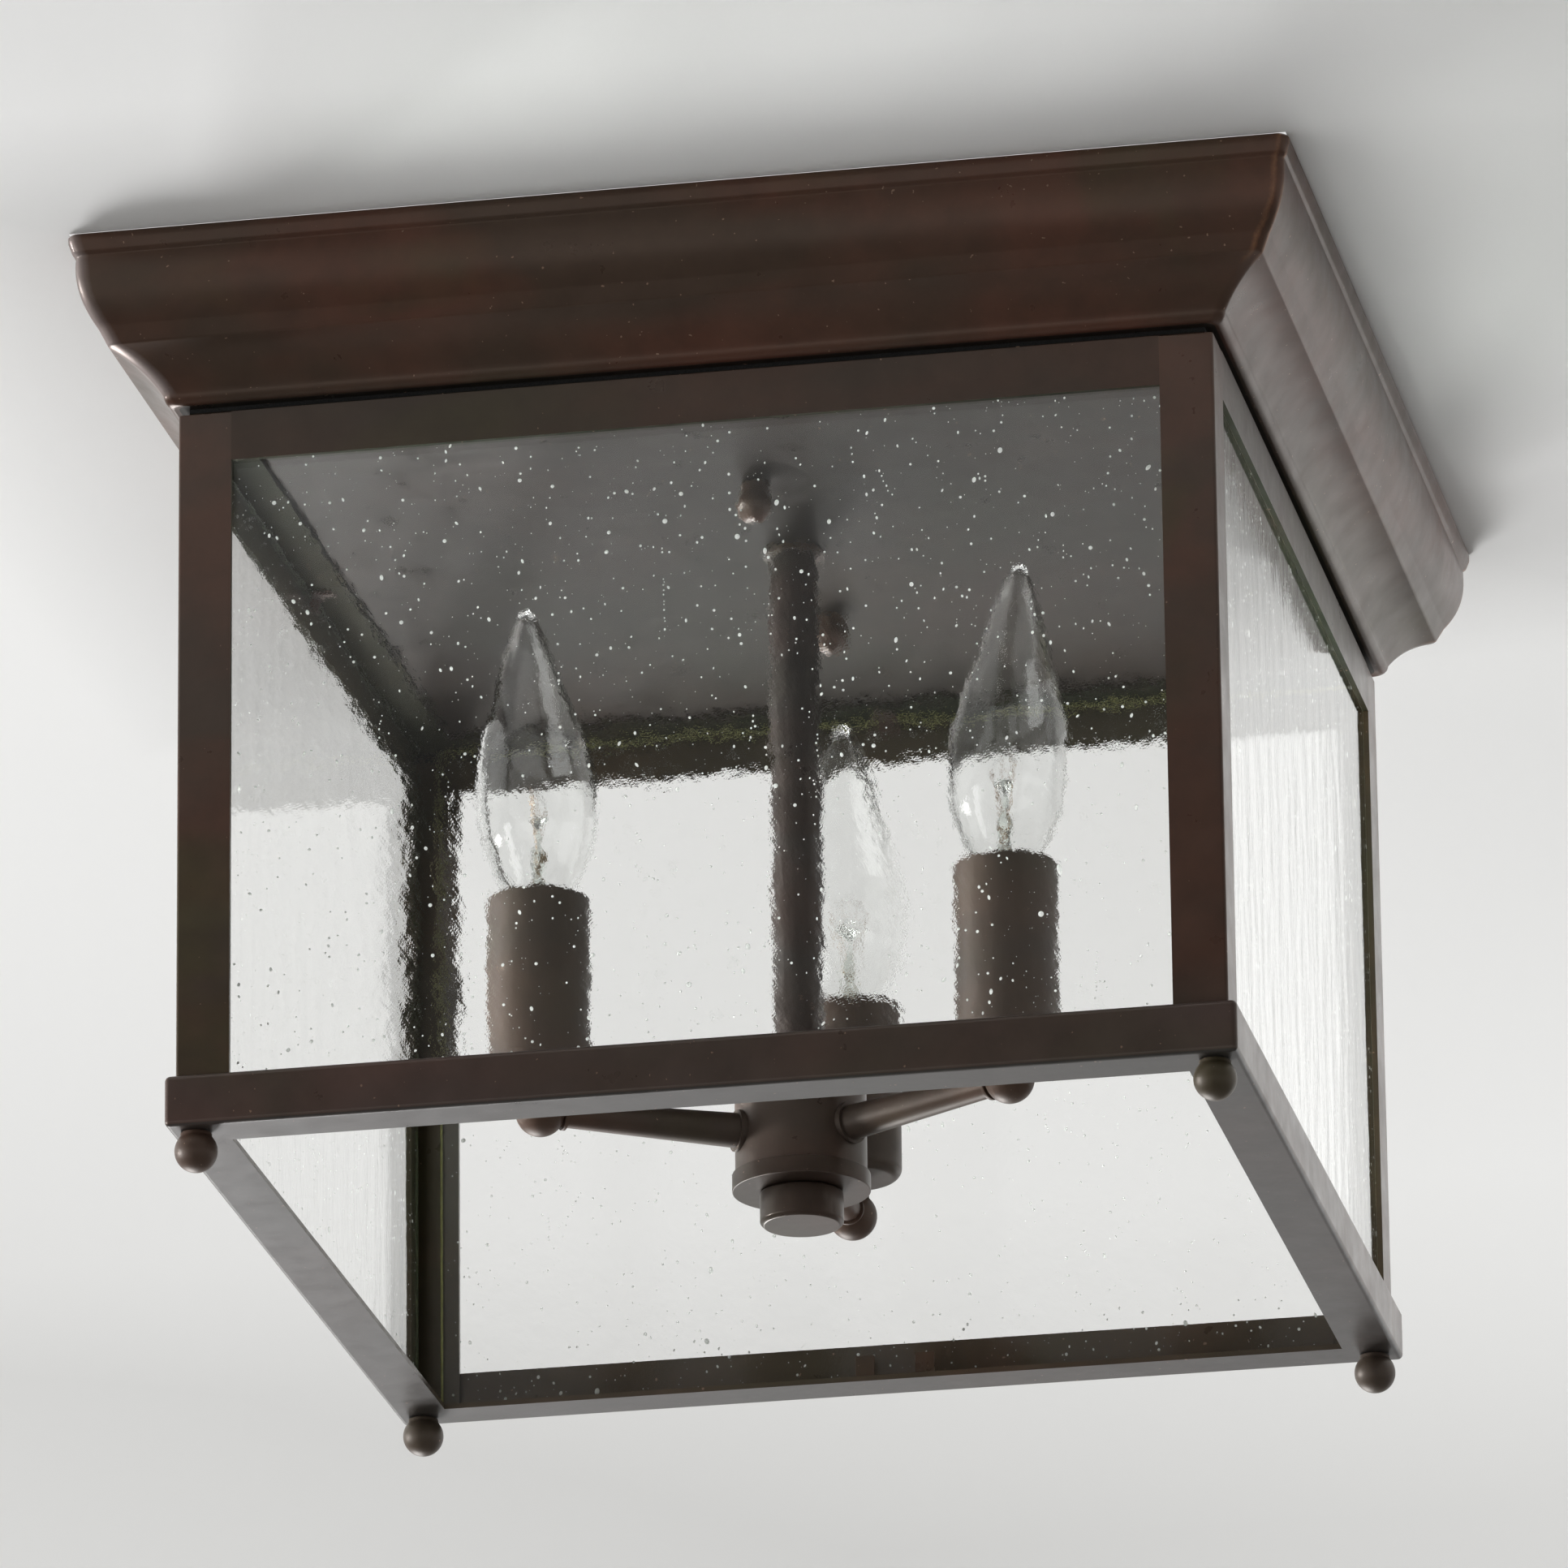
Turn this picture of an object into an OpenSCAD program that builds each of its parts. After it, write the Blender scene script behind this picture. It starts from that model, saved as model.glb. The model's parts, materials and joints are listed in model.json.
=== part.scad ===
// Square porch ceiling lantern: a moulded canopy, a glazed cage of angle sections that is
// open below, and three candle lamps on a central stem.
// The origin is on the ceiling plane over the middle of the canopy; the lantern hangs towards -Z
// and its front faces -Y.

/* [Canopy] */
// Width across the top lip, against the ceiling
canopy_w = 330; // [318:1:350]
// Drop from the ceiling to the underside of the canopy floor
canopy_h = 42.2; // [40:0.2:50]
// Sheet thickness of the canopy
canopy_wall = 1.2; // [0.8:0.1:1.6]
// Height of the upright lip
lip_h = 5.6; // [4:0.2:8]
// Set-back of the moulding under the lip
lip_step = 1.8; // [0.6:0.1:2.4]
// Drop from the ceiling to the crease between the two mouldings
crease_drop = 28.8; // [25:0.2:32]
// Set-back of the crease from the lip, in percent of the canopy's overhang
crease_share = 42.5; // [30:0.5:55]
// Height of the steep fillet between the two mouldings
nosing_h = 4.6; // [2:0.2:6]
// Set-back over the height of that fillet
nosing_in = 2.2; // [1:0.1:3]
// Swell of the upper, convex moulding
ovolo_swell = 1.8; // [0.5:0.1:3]
// Hollow of the lower, concave moulding
cove_hollow = 1.3; // [0.4:0.1:2]
// Overhang of the canopy foot beyond the cage
foot_over = 3.8; // [2:0.2:6]
// Rounding of the foot's lower edge
foot_round = 1.5; // [0.5:0.1:2]

/* [Cage] */
// Width of the cage over its corner posts
cage_w = 280; // [270:1:290]
// Height of the cage, from the top plate to the underside of the bottom frame
cage_h = 200; // [195:1:240]
// Leg width of the corner posts
post_leg = 14.5; // [13:0.5:18]
// Sheet thickness of posts and frames
angle_t = 1.5; // [1:0.1:2]
// Height of the top rails
top_rail_h = 13.8; // [11:0.2:18]
// Width of the top frame's inward flange, from the outside of the posts
top_flange = 14.5; // [12:0.5:18]
// Height of the bottom frame's skirt
bottom_rail_h = 14; // [11:0.5:18]
// Width of the bottom frame's inward flange, from the outside of its skirt
bottom_flange = 15; // [13:0.5:20]
// Gap between the posts and the skirt of the bottom frame
skirt_gap = 1; // [0.4:0.1:1.5]
// Thickness of the top plate
plate_t = 1.2; // [0.8:0.1:2]
// Thickness of the foam gasket between canopy and top plate
gasket_t = 1.1; // [0.8:0.1:3]
// Width of the foam gasket
gasket_w = 9; // [6:0.5:14]
// Set-back of gasket and top plate from the outside of the posts
plate_in = 2.5; // [1:0.5:5]

/* [Glazing] */
// Thickness of the seeded glass panes
pane_t = 3; // [2:0.2:4]
// Overlap of a pane behind each post
pane_lap = 5; // [3:0.5:6]
// Free height over a pane, under the top flange
pane_play = 0.4; // [0.2:0.1:1]
// Sheet thickness of the glass clips
clip_t = 0.8; // [0.5:0.1:1]
// Width of each tab of a lower clip
tab_w = 5.5; // [4:0.5:8]
// Spacing of the two tabs of a lower clip
tab_pitch = 17; // [12:0.5:24]
// Height of the lower tabs above the flange
tab_h = 8; // [6:0.5:11]
// Depth of a clip's foot on its flange
clip_foot = 5.5; // [4:0.5:6]
// Width of an upper clip
top_clip_w = 5.5; // [4:0.5:16]
// Height of an upper clip's tab
top_tab_h = 5.5; // [4:0.5:10]
// Gap between a tab and its pane
tab_gap = 0.2; // [0.1:0.1:0.4]

/* [Ceiling strap] */
// Length of the mounting strap
strap_len = 130; // [124:1:150]
// Width of the mounting strap
strap_w = 22; // [18:1:30]
// Thickness of the mounting strap
strap_t = 2; // [1.5:0.1:3]
// Spacing of the middles of the two box-screw slots
box_spacing = 79.4; // [76:0.2:82]
// Length of a box-screw slot over its round ends
slot_len = 14.4; // [10:0.2:15]
// Width of a box-screw slot
slot_w = 4.8; // [4:0.1:6]
// Spacing of the two fixture studs
stud_spacing = 108; // [104:1:112]
// Diameter of the fixture studs
stud_d = 4; // [3.5:0.1:5]
// Running clearance of a thread in its nut, on the radius
thread_fit = 0.05; // [0.03:0.01:0.1]
// Clearance of a screw or nipple in a plain hole, on the radius
hole_fit = 0.3; // [0.2:0.1:0.5]
// Width of the hexagon stud nuts across flats
nut_af = 7; // [6.5:0.5:9]
// Height of the hexagon stud nuts
nut_h = 3.2; // [2.5:0.1:4]
// Diameter of the ball of a cap nut
cap_d = 10; // [8:0.5:13]
// Diameter of the collar of a cap nut
cap_collar_d = 8.4; // [7:0.2:10]
// Height of a cap nut, from its seat to the bottom of its ball
cap_h = 11; // [9:0.5:14]
// Gap under the seat of each part that is turned by hand
seat_gap = 0.3; // [0.2:0.1:0.4]
// Distance of the earth screw from the middle of the strap
earth_y = 20; // [16:1:26]
// Head diameter of the earth screw
earth_head_d = 7; // [5:0.5:9]

/* [Stem and hub] */
// Outer diameter of the stem
stem_d = 13.5; // [12.6:0.1:16]
// Outer diameter of the threaded nipple
nipple_d = 10; // [9.6:0.1:10.4]
// Bore of the threaded nipple
nipple_bore = 7.2; // [7:0.1:8]
// Length of the nipple above the canopy floor
nipple_rise = 9; // [7:0.5:12]
// Length of the nipple inside the stem
nipple_grip = 12; // [8:1:20]
// Diameter of the collar where the stem meets the top plate
collar_d = 16.5; // [15:0.5:20]
// Height of that collar
collar_h = 2; // [1.5:0.1:4]
// Height of the locknut over the canopy floor
locknut_h = 3; // [2.5:0.5:5]
// Depth of the arm axes below the ceiling
arm_drop = 213.2; // [208:0.2:216]
// Diameter of the hub
hub_d = 35.8; // [33:0.2:40]
// Height of the hub above the arm axes
hub_rise = 16; // [13:0.5:20]
// Height of the hub below the arm axes
hub_fall = 13.3; // [12:0.1:18]
// Wall of the hub
hub_wall = 2; // [1.5:0.1:3]
// Thickness of the hub's top
hub_top_t = 4; // [3:0.5:6]
// Length of the stem inside the hub
stem_grip = 6; // [4.5:0.5:8]
// Diameter of the cover under the hub
cover_d = 37.6; // [37.4:0.2:42]
// Height of the cover
cover_h = 4.9; // [4:0.1:7]
// Thickness of the cover's floor
cover_t = 2.5; // [1.5:0.1:3]
// Diameter of the knob that holds the cover
knob_d = 22.7; // [18:0.5:28]
// Height of the knob
knob_h = 9.3; // [7:0.5:14]
// Diameter of the knob's screw
knob_screw_d = 5; // [4:0.5:6]
// Height of the bridge that the knob's screw goes into
bridge_h = 3; // [2.5:0.5:4]
// Width of that bridge
bridge_w = 9; // [7:0.5:12]
// Rise of the bridge above the hub's lower edge
bridge_rise = 3; // [2:0.5:4]

/* [Arms] */
// Distance of the lamps from the middle of the stem
lamp_r = 74.1; // [70:0.1:80]
// Direction of the back arm
arm_turn = 90; // [80:1:100]
// Diameter of an arm at the hub
arm_root_d = 9.6; // [8:0.2:12]
// Diameter of an arm at its knuckle
arm_tip_d = 7.2; // [6.6:0.2:9]
// Bore of an arm, for the lead
arm_bore = 4.4; // [3.4:0.2:4.8]
// Diameter of the spigots at both ends of an arm
spigot_d = 5.8; // [5.6:0.2:6.4]
// Diameter of the lip round an arm where it meets the hub
root_lip_d = 11.6; // [10:0.2:14]
// Thickness of that lip
root_lip_t = 0.8; // [0.4:0.1:1.5]
// Diameter of the collar where an arm meets its knuckle
tip_collar_d = 8.8; // [8:0.2:11]
// Thickness of that collar
tip_collar_t = 1; // [0.6:0.1:2]
// Diameter of a knuckle ball
ball_d = 13.5; // [12.6:0.1:16]
// Diameter of the hollow inside a knuckle ball
ball_hollow_d = 8.4; // [8:0.1:9]
// Diameter of the neck over a knuckle ball
neck_d = 9.2; // [8.4:0.2:12]

/* [Candles] */
// Drop from the ceiling to the top of the candle sleeves
sleeve_top = 153.5; // [148:0.5:158]
// Length of a candle sleeve
sleeve_len = 49; // [46:0.5:52]
// Outer diameter of a candle sleeve
sleeve_d = 27.6; // [25:0.2:32]
// Wall of a candle sleeve
sleeve_wall = 0.9; // [0.7:0.1:1.5]
// Rounding of a candle sleeve's lower edge
sleeve_round = 3; // [2:0.5:5]
// Diameter of a socket body
socket_d = 18.6; // [17:0.2:21]
// Depth of the socket's top inside its sleeve
socket_sink = 2.5; // [1.5:0.5:4]
// Height of a socket body
socket_h = 32; // [30:0.5:33]
// Diameter of a socket's threaded shell, outside
shell_d = 13.4; // [13:0.1:14]
// Wall of a socket's threaded shell
shell_wall = 0.5; // [0.3:0.1:0.6]
// Thickness of the socket's foot plate
foot_t = 1.5; // [1:0.1:2]
// Diameter of a socket's screwed tail
tail_d = 6.8; // [6:0.1:7]
// Bore of a socket's screwed tail
tail_bore = 4; // [3.4:0.1:4.4]

/* [Bulbs] */
// Length of a bulb, from its contact to its tip
bulb_len = 104; // [100:0.5:108]
// Largest diameter of the bulb glass
bulb_d = 32.4; // [28:0.2:36]
// Distance from the tip to the widest place
bulb_swell = 57; // [50:1:60]
// Diameter of the glass at the base
bulb_neck_d = 11.2; // [10:0.2:11.6]
// Diameter of the blunt glass tip
bulb_tip_d = 3.2; // [2:0.2:4]
// Wall of the bulb glass
bulb_wall = 0.7; // [0.5:0.1:1]
// Diameter of the screw base
base_d = 11.7; // [11.4:0.1:12]
// Length of the screw base over its contact
base_len = 18.5; // [16:0.5:20]
// Depth of the bulb's contact below the socket's top
bulb_sink = 18; // [16:0.5:20]
// Pitch of the screw thread
bulb_pitch = 2.54; // [2:0.01:3]
// Gap between the bulb's contact and the socket's
contact_gap = 0.3; // [0.2:0.1:0.5]
// Distance from the tip to the filament
filament_drop = 60; // [56:1:64]
// Spread of the filament's supports
filament_w = 9; // [6:0.5:12]

/* [Finials] */
// Diameter of a finial ball
finial_d = 11.4; // [9:0.2:13]
// Drop from the bottom frame to the middle of a finial ball
finial_drop = 5.2; // [4:0.1:7]
// Diameter of a finial's collar
finial_collar_d = 8.4; // [7:0.2:10]
// Distance of the finial screws from the outside of the posts
finial_in = 4.6; // [4.4:0.1:5]
// Diameter of a finial's screw
finial_screw_d = 4; // [3:0.1:4.4]
// Width of the tapped lug over each finial
lug_w = 7.5; // [7:0.1:7.8]
// Height of the tapped lugs
lug_h = 4.5; // [4:0.5:7]

/* [Wiring] */
// Diameter of the two-core leads
lead_d = 2.6; // [2:0.1:2.8]
// Diameter of the earth lead
earth_d = 2.2; // [1.6:0.1:2.8]
// Distance of the leads from the stem's axis
lead_r = 2; // [1.8:0.1:2.1]
// Length of the terminal block
block_l = 26; // [22:1:34]
// Width of the terminal block
block_w = 26; // [24:1:34]
// Height of the terminal block
block_h = 12; // [10:1:14]
// Distance of the terminal block from the stem's axis
block_x = 24; // [22:1:30]

/* [Hidden] */
$fn = 64;

// Past a face that is cut through
over = 1;
// Ring terminal under the earth screw: thickness, width, bore, and its tongue
ring_t = 0.8;
ring_d = 7;
ring_bore = 3.4;
tongue_l = 6.5;
tongue_w = 3;
// Clear space between the tongue and the lead under it
tongue_gap = 0.2;
// Distance of the leads in from the ends of the terminal block, and of the earth lead from its side
lead_in = 6;
earth_in = 4;
// Locknuts on the nipple: width across corners, and the gap between the two
locknut_d = 16;
locknut_gap = 0.4;
// Width of the mitred border of the canopy floor
floor_rim = 6;
// Heights, all measured down from the ceiling
floor_top = -canopy_h + canopy_wall;
plate_top = -canopy_h - gasket_t;
cage_top = plate_top - plate_t;
cage_bottom = cage_top - cage_h;
flange_top = cage_bottom + angle_t;
arm_z = -arm_drop;
hub_top = arm_z + hub_rise;
hub_bottom = arm_z - hub_fall;
cover_top = hub_bottom + cover_h - cover_t;
cover_bottom = hub_bottom - cover_t;
sleeve_bottom = -sleeve_top - sleeve_len;
socket_top = -sleeve_top - socket_sink;
socket_bottom = socket_top - socket_h;
contact_z = socket_top - bulb_sink;
tip_z = contact_z + bulb_len;
swell_z = tip_z - bulb_swell;
glass_z = contact_z + base_len;
// Half widths, from the middle
post_out = cage_w / 2;
post_in = post_out - angle_t;
skirt_out = post_out + skirt_gap + angle_t;
foot_half = post_out + foot_over;
pane_half = post_out - post_leg + pane_lap;
finial_xy = post_out - finial_in;
// Directions of the three arms and of the four corners and sides
left_turn = arm_turn + 120;
right_turn = arm_turn + 240;
back_turn = arm_turn;
// Steps along each curved stretch of an outline
curve_steps = 8;
glass_steps = 12;

function unit(v) = v / norm(v);

// Points from a to b on a shallow bow that swells to the left of the way down
function bowed(a, b, swell) = let (d = b - a, out = [-d.y, d.x] / norm(d))
    [for (i = [0 : curve_steps]) let (t = i / curve_steps) a + d * t + out * swell * 4 * t * (1 - t)];

// A square ring with mitred corners: the profile runs along all four sides
module mitred(profile, reach) {
    for (a = [0 : 90 : 270])
        rotate([0, 0, a])
            intersection() {
                rotate([90, 0, 0])
                    linear_extrude(2 * reach, center = true)
                        polygon(profile);
                translate([0, 0, -reach])
                    linear_extrude(2 * reach)
                        polygon([[0, 0], [reach, -reach], [reach, reach]]);
            }
}

// A flat square plate between two heights
module square_plate(half, z_low, z_high) {
    translate([-half, -half, z_low])
        cube([2 * half, 2 * half, z_high - z_low]);
}

// A flat square ring between two heights
module square_ring(half_out, half_in, z_low, z_high) {
    difference() {
        square_plate(half_out, z_low, z_high);
        square_plate(half_in, z_low - over, z_high + over);
    }
}

// An upright cylinder between two heights
module post_of(d, z_low, z_high, x = 0, y = 0) {
    translate([x, y, z_low])
        cylinder(d = d, h = z_high - z_low);
}

// Puts a shape made at the front side on one of the four sides
module on_side(turn) {
    rotate([0, 0, turn])
        children();
}

// Puts a shape made on the +X axis at one of the lamps
module at_lamp(turn) {
    rotate([0, 0, turn])
        translate([lamp_r, 0, 0])
            children();
}

// ---------------------------------------------------------------- ceiling strap

module crossbar() {
    color("silver")
        difference() {
            translate([-strap_w / 2, -strap_len / 2, -strap_t])
                cube([strap_w, strap_len, strap_t]);
            for (s = [-1, 1]) {
                box_slot(s * box_spacing / 2);
                post_of(stud_d, -strap_t - over, over, 0, s * stud_spacing / 2);
            }
            post_of(nipple_d + 2 * hole_fit, -strap_t - over, over);
            post_of(3.4, -strap_t - over, over, 0, earth_y);
        }
}

// A slot along the strap
module box_slot(y) {
    half = (slot_len - slot_w) / 2;
    for (s = [-1, 1])
        post_of(slot_w, -strap_t - over, over, 0, y + s * half);
    translate([-slot_w / 2, y - half, -strap_t - over])
        cube([slot_w, 2 * half, strap_t + 2 * over]);
}

module fixture_studs() {
    color("silver")
        for (s = [-1, 1])
            post_of(stud_d, cage_top - cap_h + cap_d / 2, 0, 0, s * stud_spacing / 2);
}

module stud_nuts() {
    color("silver")
        for (s = [-1, 1])
            difference() {
                translate([0, s * stud_spacing / 2, -strap_t - nut_h])
                    cylinder(d = nut_af / cos(30), h = nut_h, $fn = 6);
                post_of(stud_d, -strap_t - nut_h - over, -strap_t + over, 0, s * stud_spacing / 2);
            }
}

module earth_screw() {
    head_low = -strap_t - ring_t - 2.2;
    color("seagreen")
        union() {
            post_of(3.4, -strap_t - ring_t - 1, 0, 0, earth_y);
            difference() {
                post_of(earth_head_d, head_low, head_low + 2.2, 0, earth_y);
                translate([-earth_head_d, earth_y - 0.5, head_low - over])
                    cube([2 * earth_head_d, 1, over + 0.8]);
            }
        }
}

module cap_nut(side) {
    y = side * stud_spacing / 2;
    seat = cage_top - seat_gap;
    ball_z = cage_top - cap_h + cap_d / 2;
    color("#3a302a")
        difference() {
            union() {
                post_of(cap_collar_d, ball_z, seat, 0, y);
                translate([0, y, ball_z])
                    sphere(d = cap_d);
            }
            post_of(stud_d + 2 * thread_fit, ball_z - seat_gap, seat + over, 0, y);
        }
}

// ---------------------------------------------------------------- canopy

// The sheet's section from the ceiling down to the floor, on the +X side
module canopy() {
    lip = canopy_w / 2;
    step = [lip - lip_step, -lip_h];
    foot = [foot_half, -canopy_h];
    crease = [lip - (lip - foot_half) * crease_share / 100, -crease_drop];
    nosing = crease + [nosing_in, nosing_h];
    cove_end = foot + [0, foot_round];
    n_upper = unit([nosing_h, -nosing_in]);
    n_lower = unit([crease.y - foot.y, foot.x - crease.x]);
    in_step = [step.x - canopy_wall, -lip_h + canopy_wall];
    in_crease = crease - (n_upper + n_lower) * canopy_wall / (1 + n_upper * n_lower);
    n_nosing = unit([step.y - nosing.y, nosing.x - step.x]);
    in_nosing = nosing - (n_nosing + n_upper) * canopy_wall / (1 + n_nosing * n_upper);
    in_foot = [foot_half - foot_round, floor_top];
    outside = concat([[lip, 0], [lip - lip_step / 4, -lip_h / 2], [lip - lip_step * 3 / 4, -lip_h]],
        bowed(step, nosing, ovolo_swell), bowed(crease, cove_end, -cove_hollow),
        [for (a = [30 : 30 : 90]) foot - [1 - cos(a), sin(a) - 1] * foot_round]);
    inside = concat([[foot_half - floor_rim, -canopy_h], [foot_half - floor_rim, floor_top], in_foot],
        [for (p = [curve_steps - 1 : -1 : 0]) bowed(in_crease, in_foot, -cove_hollow)[p]],
        [for (p = [curve_steps : -1 : 0]) bowed(in_step, in_nosing, ovolo_swell)[p]],
        [[lip - canopy_wall, -lip_h + canopy_wall], [lip - canopy_wall, 0]]);
    color("#3a302a")
        difference() {
            union() {
                intersection() {
                    mitred(concat(outside, inside), lip + 5);
                    rounded_block(lip, 3, -canopy_h - over, over);
                }
                square_plate(foot_half - 5, -canopy_h, floor_top);
            }
            plate_holes(-canopy_h - over, floor_top + over);
        }
}

// A square block with round upright corners
module rounded_block(half, r, z_low, z_high) {
    translate([0, 0, z_low])
        linear_extrude(z_high - z_low) {
            square([2 * half, 2 * (half - r)], center = true);
            square([2 * (half - r), 2 * half], center = true);
            for (x = [-1, 1])
                for (y = [-1, 1])
                    translate([x * (half - r), y * (half - r)])
                        circle(r);
        }
}

// The nipple hole and the two stud holes of canopy and top plate
module plate_holes(z_low, z_high) {
    post_of(nipple_d + 2 * hole_fit, z_low, z_high);
    for (s = [-1, 1])
        post_of(stud_d + 2 * hole_fit, z_low, z_high, 0, s * stud_spacing / 2);
}

module canopy_gasket() {
    color("#151515")
        square_ring(post_out - plate_in, post_out - plate_in - gasket_w, plate_top, -canopy_h);
}

// ---------------------------------------------------------------- cage

module top_plate() {
    color("#4a4038")
        difference() {
            square_plate(post_out - plate_in, cage_top, plate_top);
            plate_holes(cage_top - over, plate_top + over);
        }
}

module top_frame() {
    reach = post_out - post_leg;
    color("#3a302a")
        union() {
            square_ring(post_in, post_out - top_flange, cage_top - angle_t, cage_top);
            for (turn = [0 : 90 : 270])
                on_side(turn)
                    translate([-reach, -post_out, cage_top - top_rail_h])
                        cube([2 * reach, angle_t, top_rail_h]);
        }
}

module corner_post(turn) {
    high = cage_top - flange_top;
    color("#3a302a")
        on_side(turn)
            translate([-post_out, -post_out, flange_top]) {
                cube([post_leg, angle_t, high]);
                cube([angle_t, post_leg, high]);
            }
}

module bottom_frame() {
    top = cage_bottom + bottom_rail_h;
    color("#3a302a")
        difference() {
            square_plate(skirt_out, cage_bottom, top);
            square_plate(skirt_out - angle_t, flange_top, top + over);
            square_plate(skirt_out - bottom_flange, cage_bottom - over, flange_top + over);
            for (turn = [0 : 90 : 270])
                on_side(turn)
                    post_of(finial_screw_d + 2 * hole_fit, cage_bottom - over, flange_top + over,
                        -finial_xy, -finial_xy);
        }
}

module corner_lugs() {
    color("#2c2622")
        for (turn = [0 : 90 : 270])
            on_side(turn)
                difference() {
                    translate([-post_in, -post_in, flange_top])
                        cube([lug_w, lug_w, lug_h]);
                    post_of(finial_screw_d + 2 * thread_fit, flange_top - over,
                        flange_top + lug_h + over, -finial_xy, -finial_xy);
                }
}

module finial(turn) {
    ball_z = cage_bottom - finial_drop;
    seat = cage_bottom - seat_gap;
    color("#3a302a")
        on_side(turn) {
            intersection() {
                translate([-finial_xy, -finial_xy, ball_z])
                    sphere(d = finial_d);
                post_of(finial_d + 2, ball_z - finial_d, seat, -finial_xy, -finial_xy);
            }
            post_of(finial_collar_d, ball_z, seat, -finial_xy, -finial_xy);
            post_of(finial_screw_d, ball_z, flange_top + lug_h - 0.5, -finial_xy, -finial_xy);
        }
}

// ---------------------------------------------------------------- glazing

module pane(turn) {
    top = cage_top - angle_t - pane_play;
    color([0.85, 0.92, 0.88, 0.3])
        on_side(turn)
            translate([-pane_half, -post_in, flange_top])
                cube([2 * pane_half, pane_t, top - flange_top]);
}

// One bent clip on the flange of each side, with two tabs behind the pane
module glass_clips() {
    back = post_in - pane_t - tab_gap;
    color("#3a302a")
        for (turn = [0 : 90 : 270])
            on_side(turn) {
                translate([-(tab_pitch + tab_w) / 2, -back, flange_top])
                    cube([tab_pitch + tab_w, clip_foot, clip_t]);
                for (s = [-1, 1])
                    translate([s * tab_pitch / 2 - tab_w / 2, -back, flange_top])
                        cube([tab_w, clip_t, tab_h]);
            }
}

// One clip under the top flange of each side
module upper_clips() {
    back = post_in - pane_t - tab_gap;
    top = cage_top - angle_t;
    color("#3a302a")
        for (turn = [0 : 90 : 270])
            on_side(turn) {
                translate([-top_clip_w / 2, -back, top - clip_t])
                    cube([top_clip_w, clip_foot, clip_t]);
                translate([-top_clip_w / 2, -back, top - top_tab_h])
                    cube([top_clip_w, clip_t, top_tab_h]);
            }
}

// ---------------------------------------------------------------- stem and hub

module stem_nipple() {
    color("goldenrod")
        difference() {
            post_of(nipple_d, cage_top - nipple_grip, floor_top + nipple_rise);
            post_of(nipple_bore, cage_top - nipple_grip - over, floor_top + nipple_rise + over);
        }
}

module nipple_locknuts() {
    color("silver")
        for (z = [floor_top, floor_top + locknut_h + locknut_gap])
            difference() {
                translate([0, 0, z])
                    cylinder(d = locknut_d, h = locknut_h, $fn = 6);
                post_of(nipple_d, z - over, z + locknut_h + over);
            }
}

module stem_collar() {
    color("#6a5c50")
        difference() {
            post_of(collar_d, cage_top - collar_h, cage_top);
            post_of(nipple_d, cage_top - collar_h - over, cage_top + over);
        }
}

module stem() {
    color("#3a302a")
        difference() {
            post_of(stem_d, hub_top - stem_grip, cage_top - collar_h);
            post_of(nipple_d, hub_top - stem_grip - over, cage_top - collar_h + over);
        }
}

module hub() {
    color("#3a302a")
        difference() {
            post_of(hub_d, hub_bottom, hub_top);
            post_of(hub_d - 2 * hub_wall, hub_bottom - over, hub_top - hub_top_t);
            post_of(stem_d, hub_top - hub_top_t - over, hub_top + over);
            for (turn = [left_turn, right_turn, back_turn])
                rotate([0, 0, turn])
                    translate([0, 0, arm_z])
                        rotate([0, 90, 0])
                            cylinder(d = spigot_d, h = hub_d);
        }
}

module hub_cover() {
    color("#3a302a")
        difference() {
            post_of(cover_d, cover_bottom, cover_bottom + cover_h);
            post_of(hub_d, hub_bottom, cover_bottom + cover_h + over);
            post_of(knob_screw_d + 2 * hole_fit, cover_bottom - over, hub_bottom + over);
        }
}

module hub_bridge() {
    low = hub_bottom + bridge_rise;
    color("silver")
        difference() {
            intersection() {
                translate([-hub_d / 2, -bridge_w / 2, low])
                    cube([hub_d, bridge_w, bridge_h]);
                post_of(hub_d - 2 * hub_wall, low - over, low + bridge_h + over);
            }
            post_of(knob_screw_d + 2 * thread_fit, low - over, low + bridge_h + over);
        }
}

module hub_knob() {
    r = knob_d / 2;
    seat = cover_bottom - seat_gap;
    low = seat - knob_h;
    color("#3a302a")
        union() {
            rotate_extrude()
                polygon([[0, low], [r - 1, low], [r, low + 1], [r, seat - 0.4], [r - 0.4, seat],
                    [0, seat]]);
            post_of(knob_screw_d, seat - 1, hub_bottom + bridge_rise + bridge_h + 1);
        }
}

// ---------------------------------------------------------------- arms and lamps

module arm(turn) {
    ball_flat = sqrt(pow(ball_d / 2, 2) - pow(spigot_d / 2, 2));
    root = hub_d / 2 - 3;
    lip = hub_d / 2 + root_lip_t;
    tip = lamp_r - ball_flat;
    color("#3a302a")
        rotate([0, 0, turn])
            translate([0, 0, arm_z])
                difference() {
                    union() {
                        difference() {
                            rotate([0, 90, 0])
                                rotate_extrude()
                                    polygon([[0, root], [root_lip_d / 2, root],
                                        [root_lip_d / 2, lip], [arm_root_d / 2, lip],
                                        [arm_tip_d / 2, tip - tip_collar_t],
                                        [tip_collar_d / 2, tip - tip_collar_t],
                                        [tip_collar_d / 2, tip], [0, tip]]);
                            post_of(hub_d, -hub_d, hub_d);
                        }
                        rotate([0, 90, 0])
                            post_of(spigot_d, hub_d / 2 - hub_wall - 0.8,
                                lamp_r - ball_hollow_d / 2 - 0.2);
                    }
                    rotate([0, 90, 0])
                        post_of(arm_bore, 0, lamp_r);
                }
}

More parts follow.
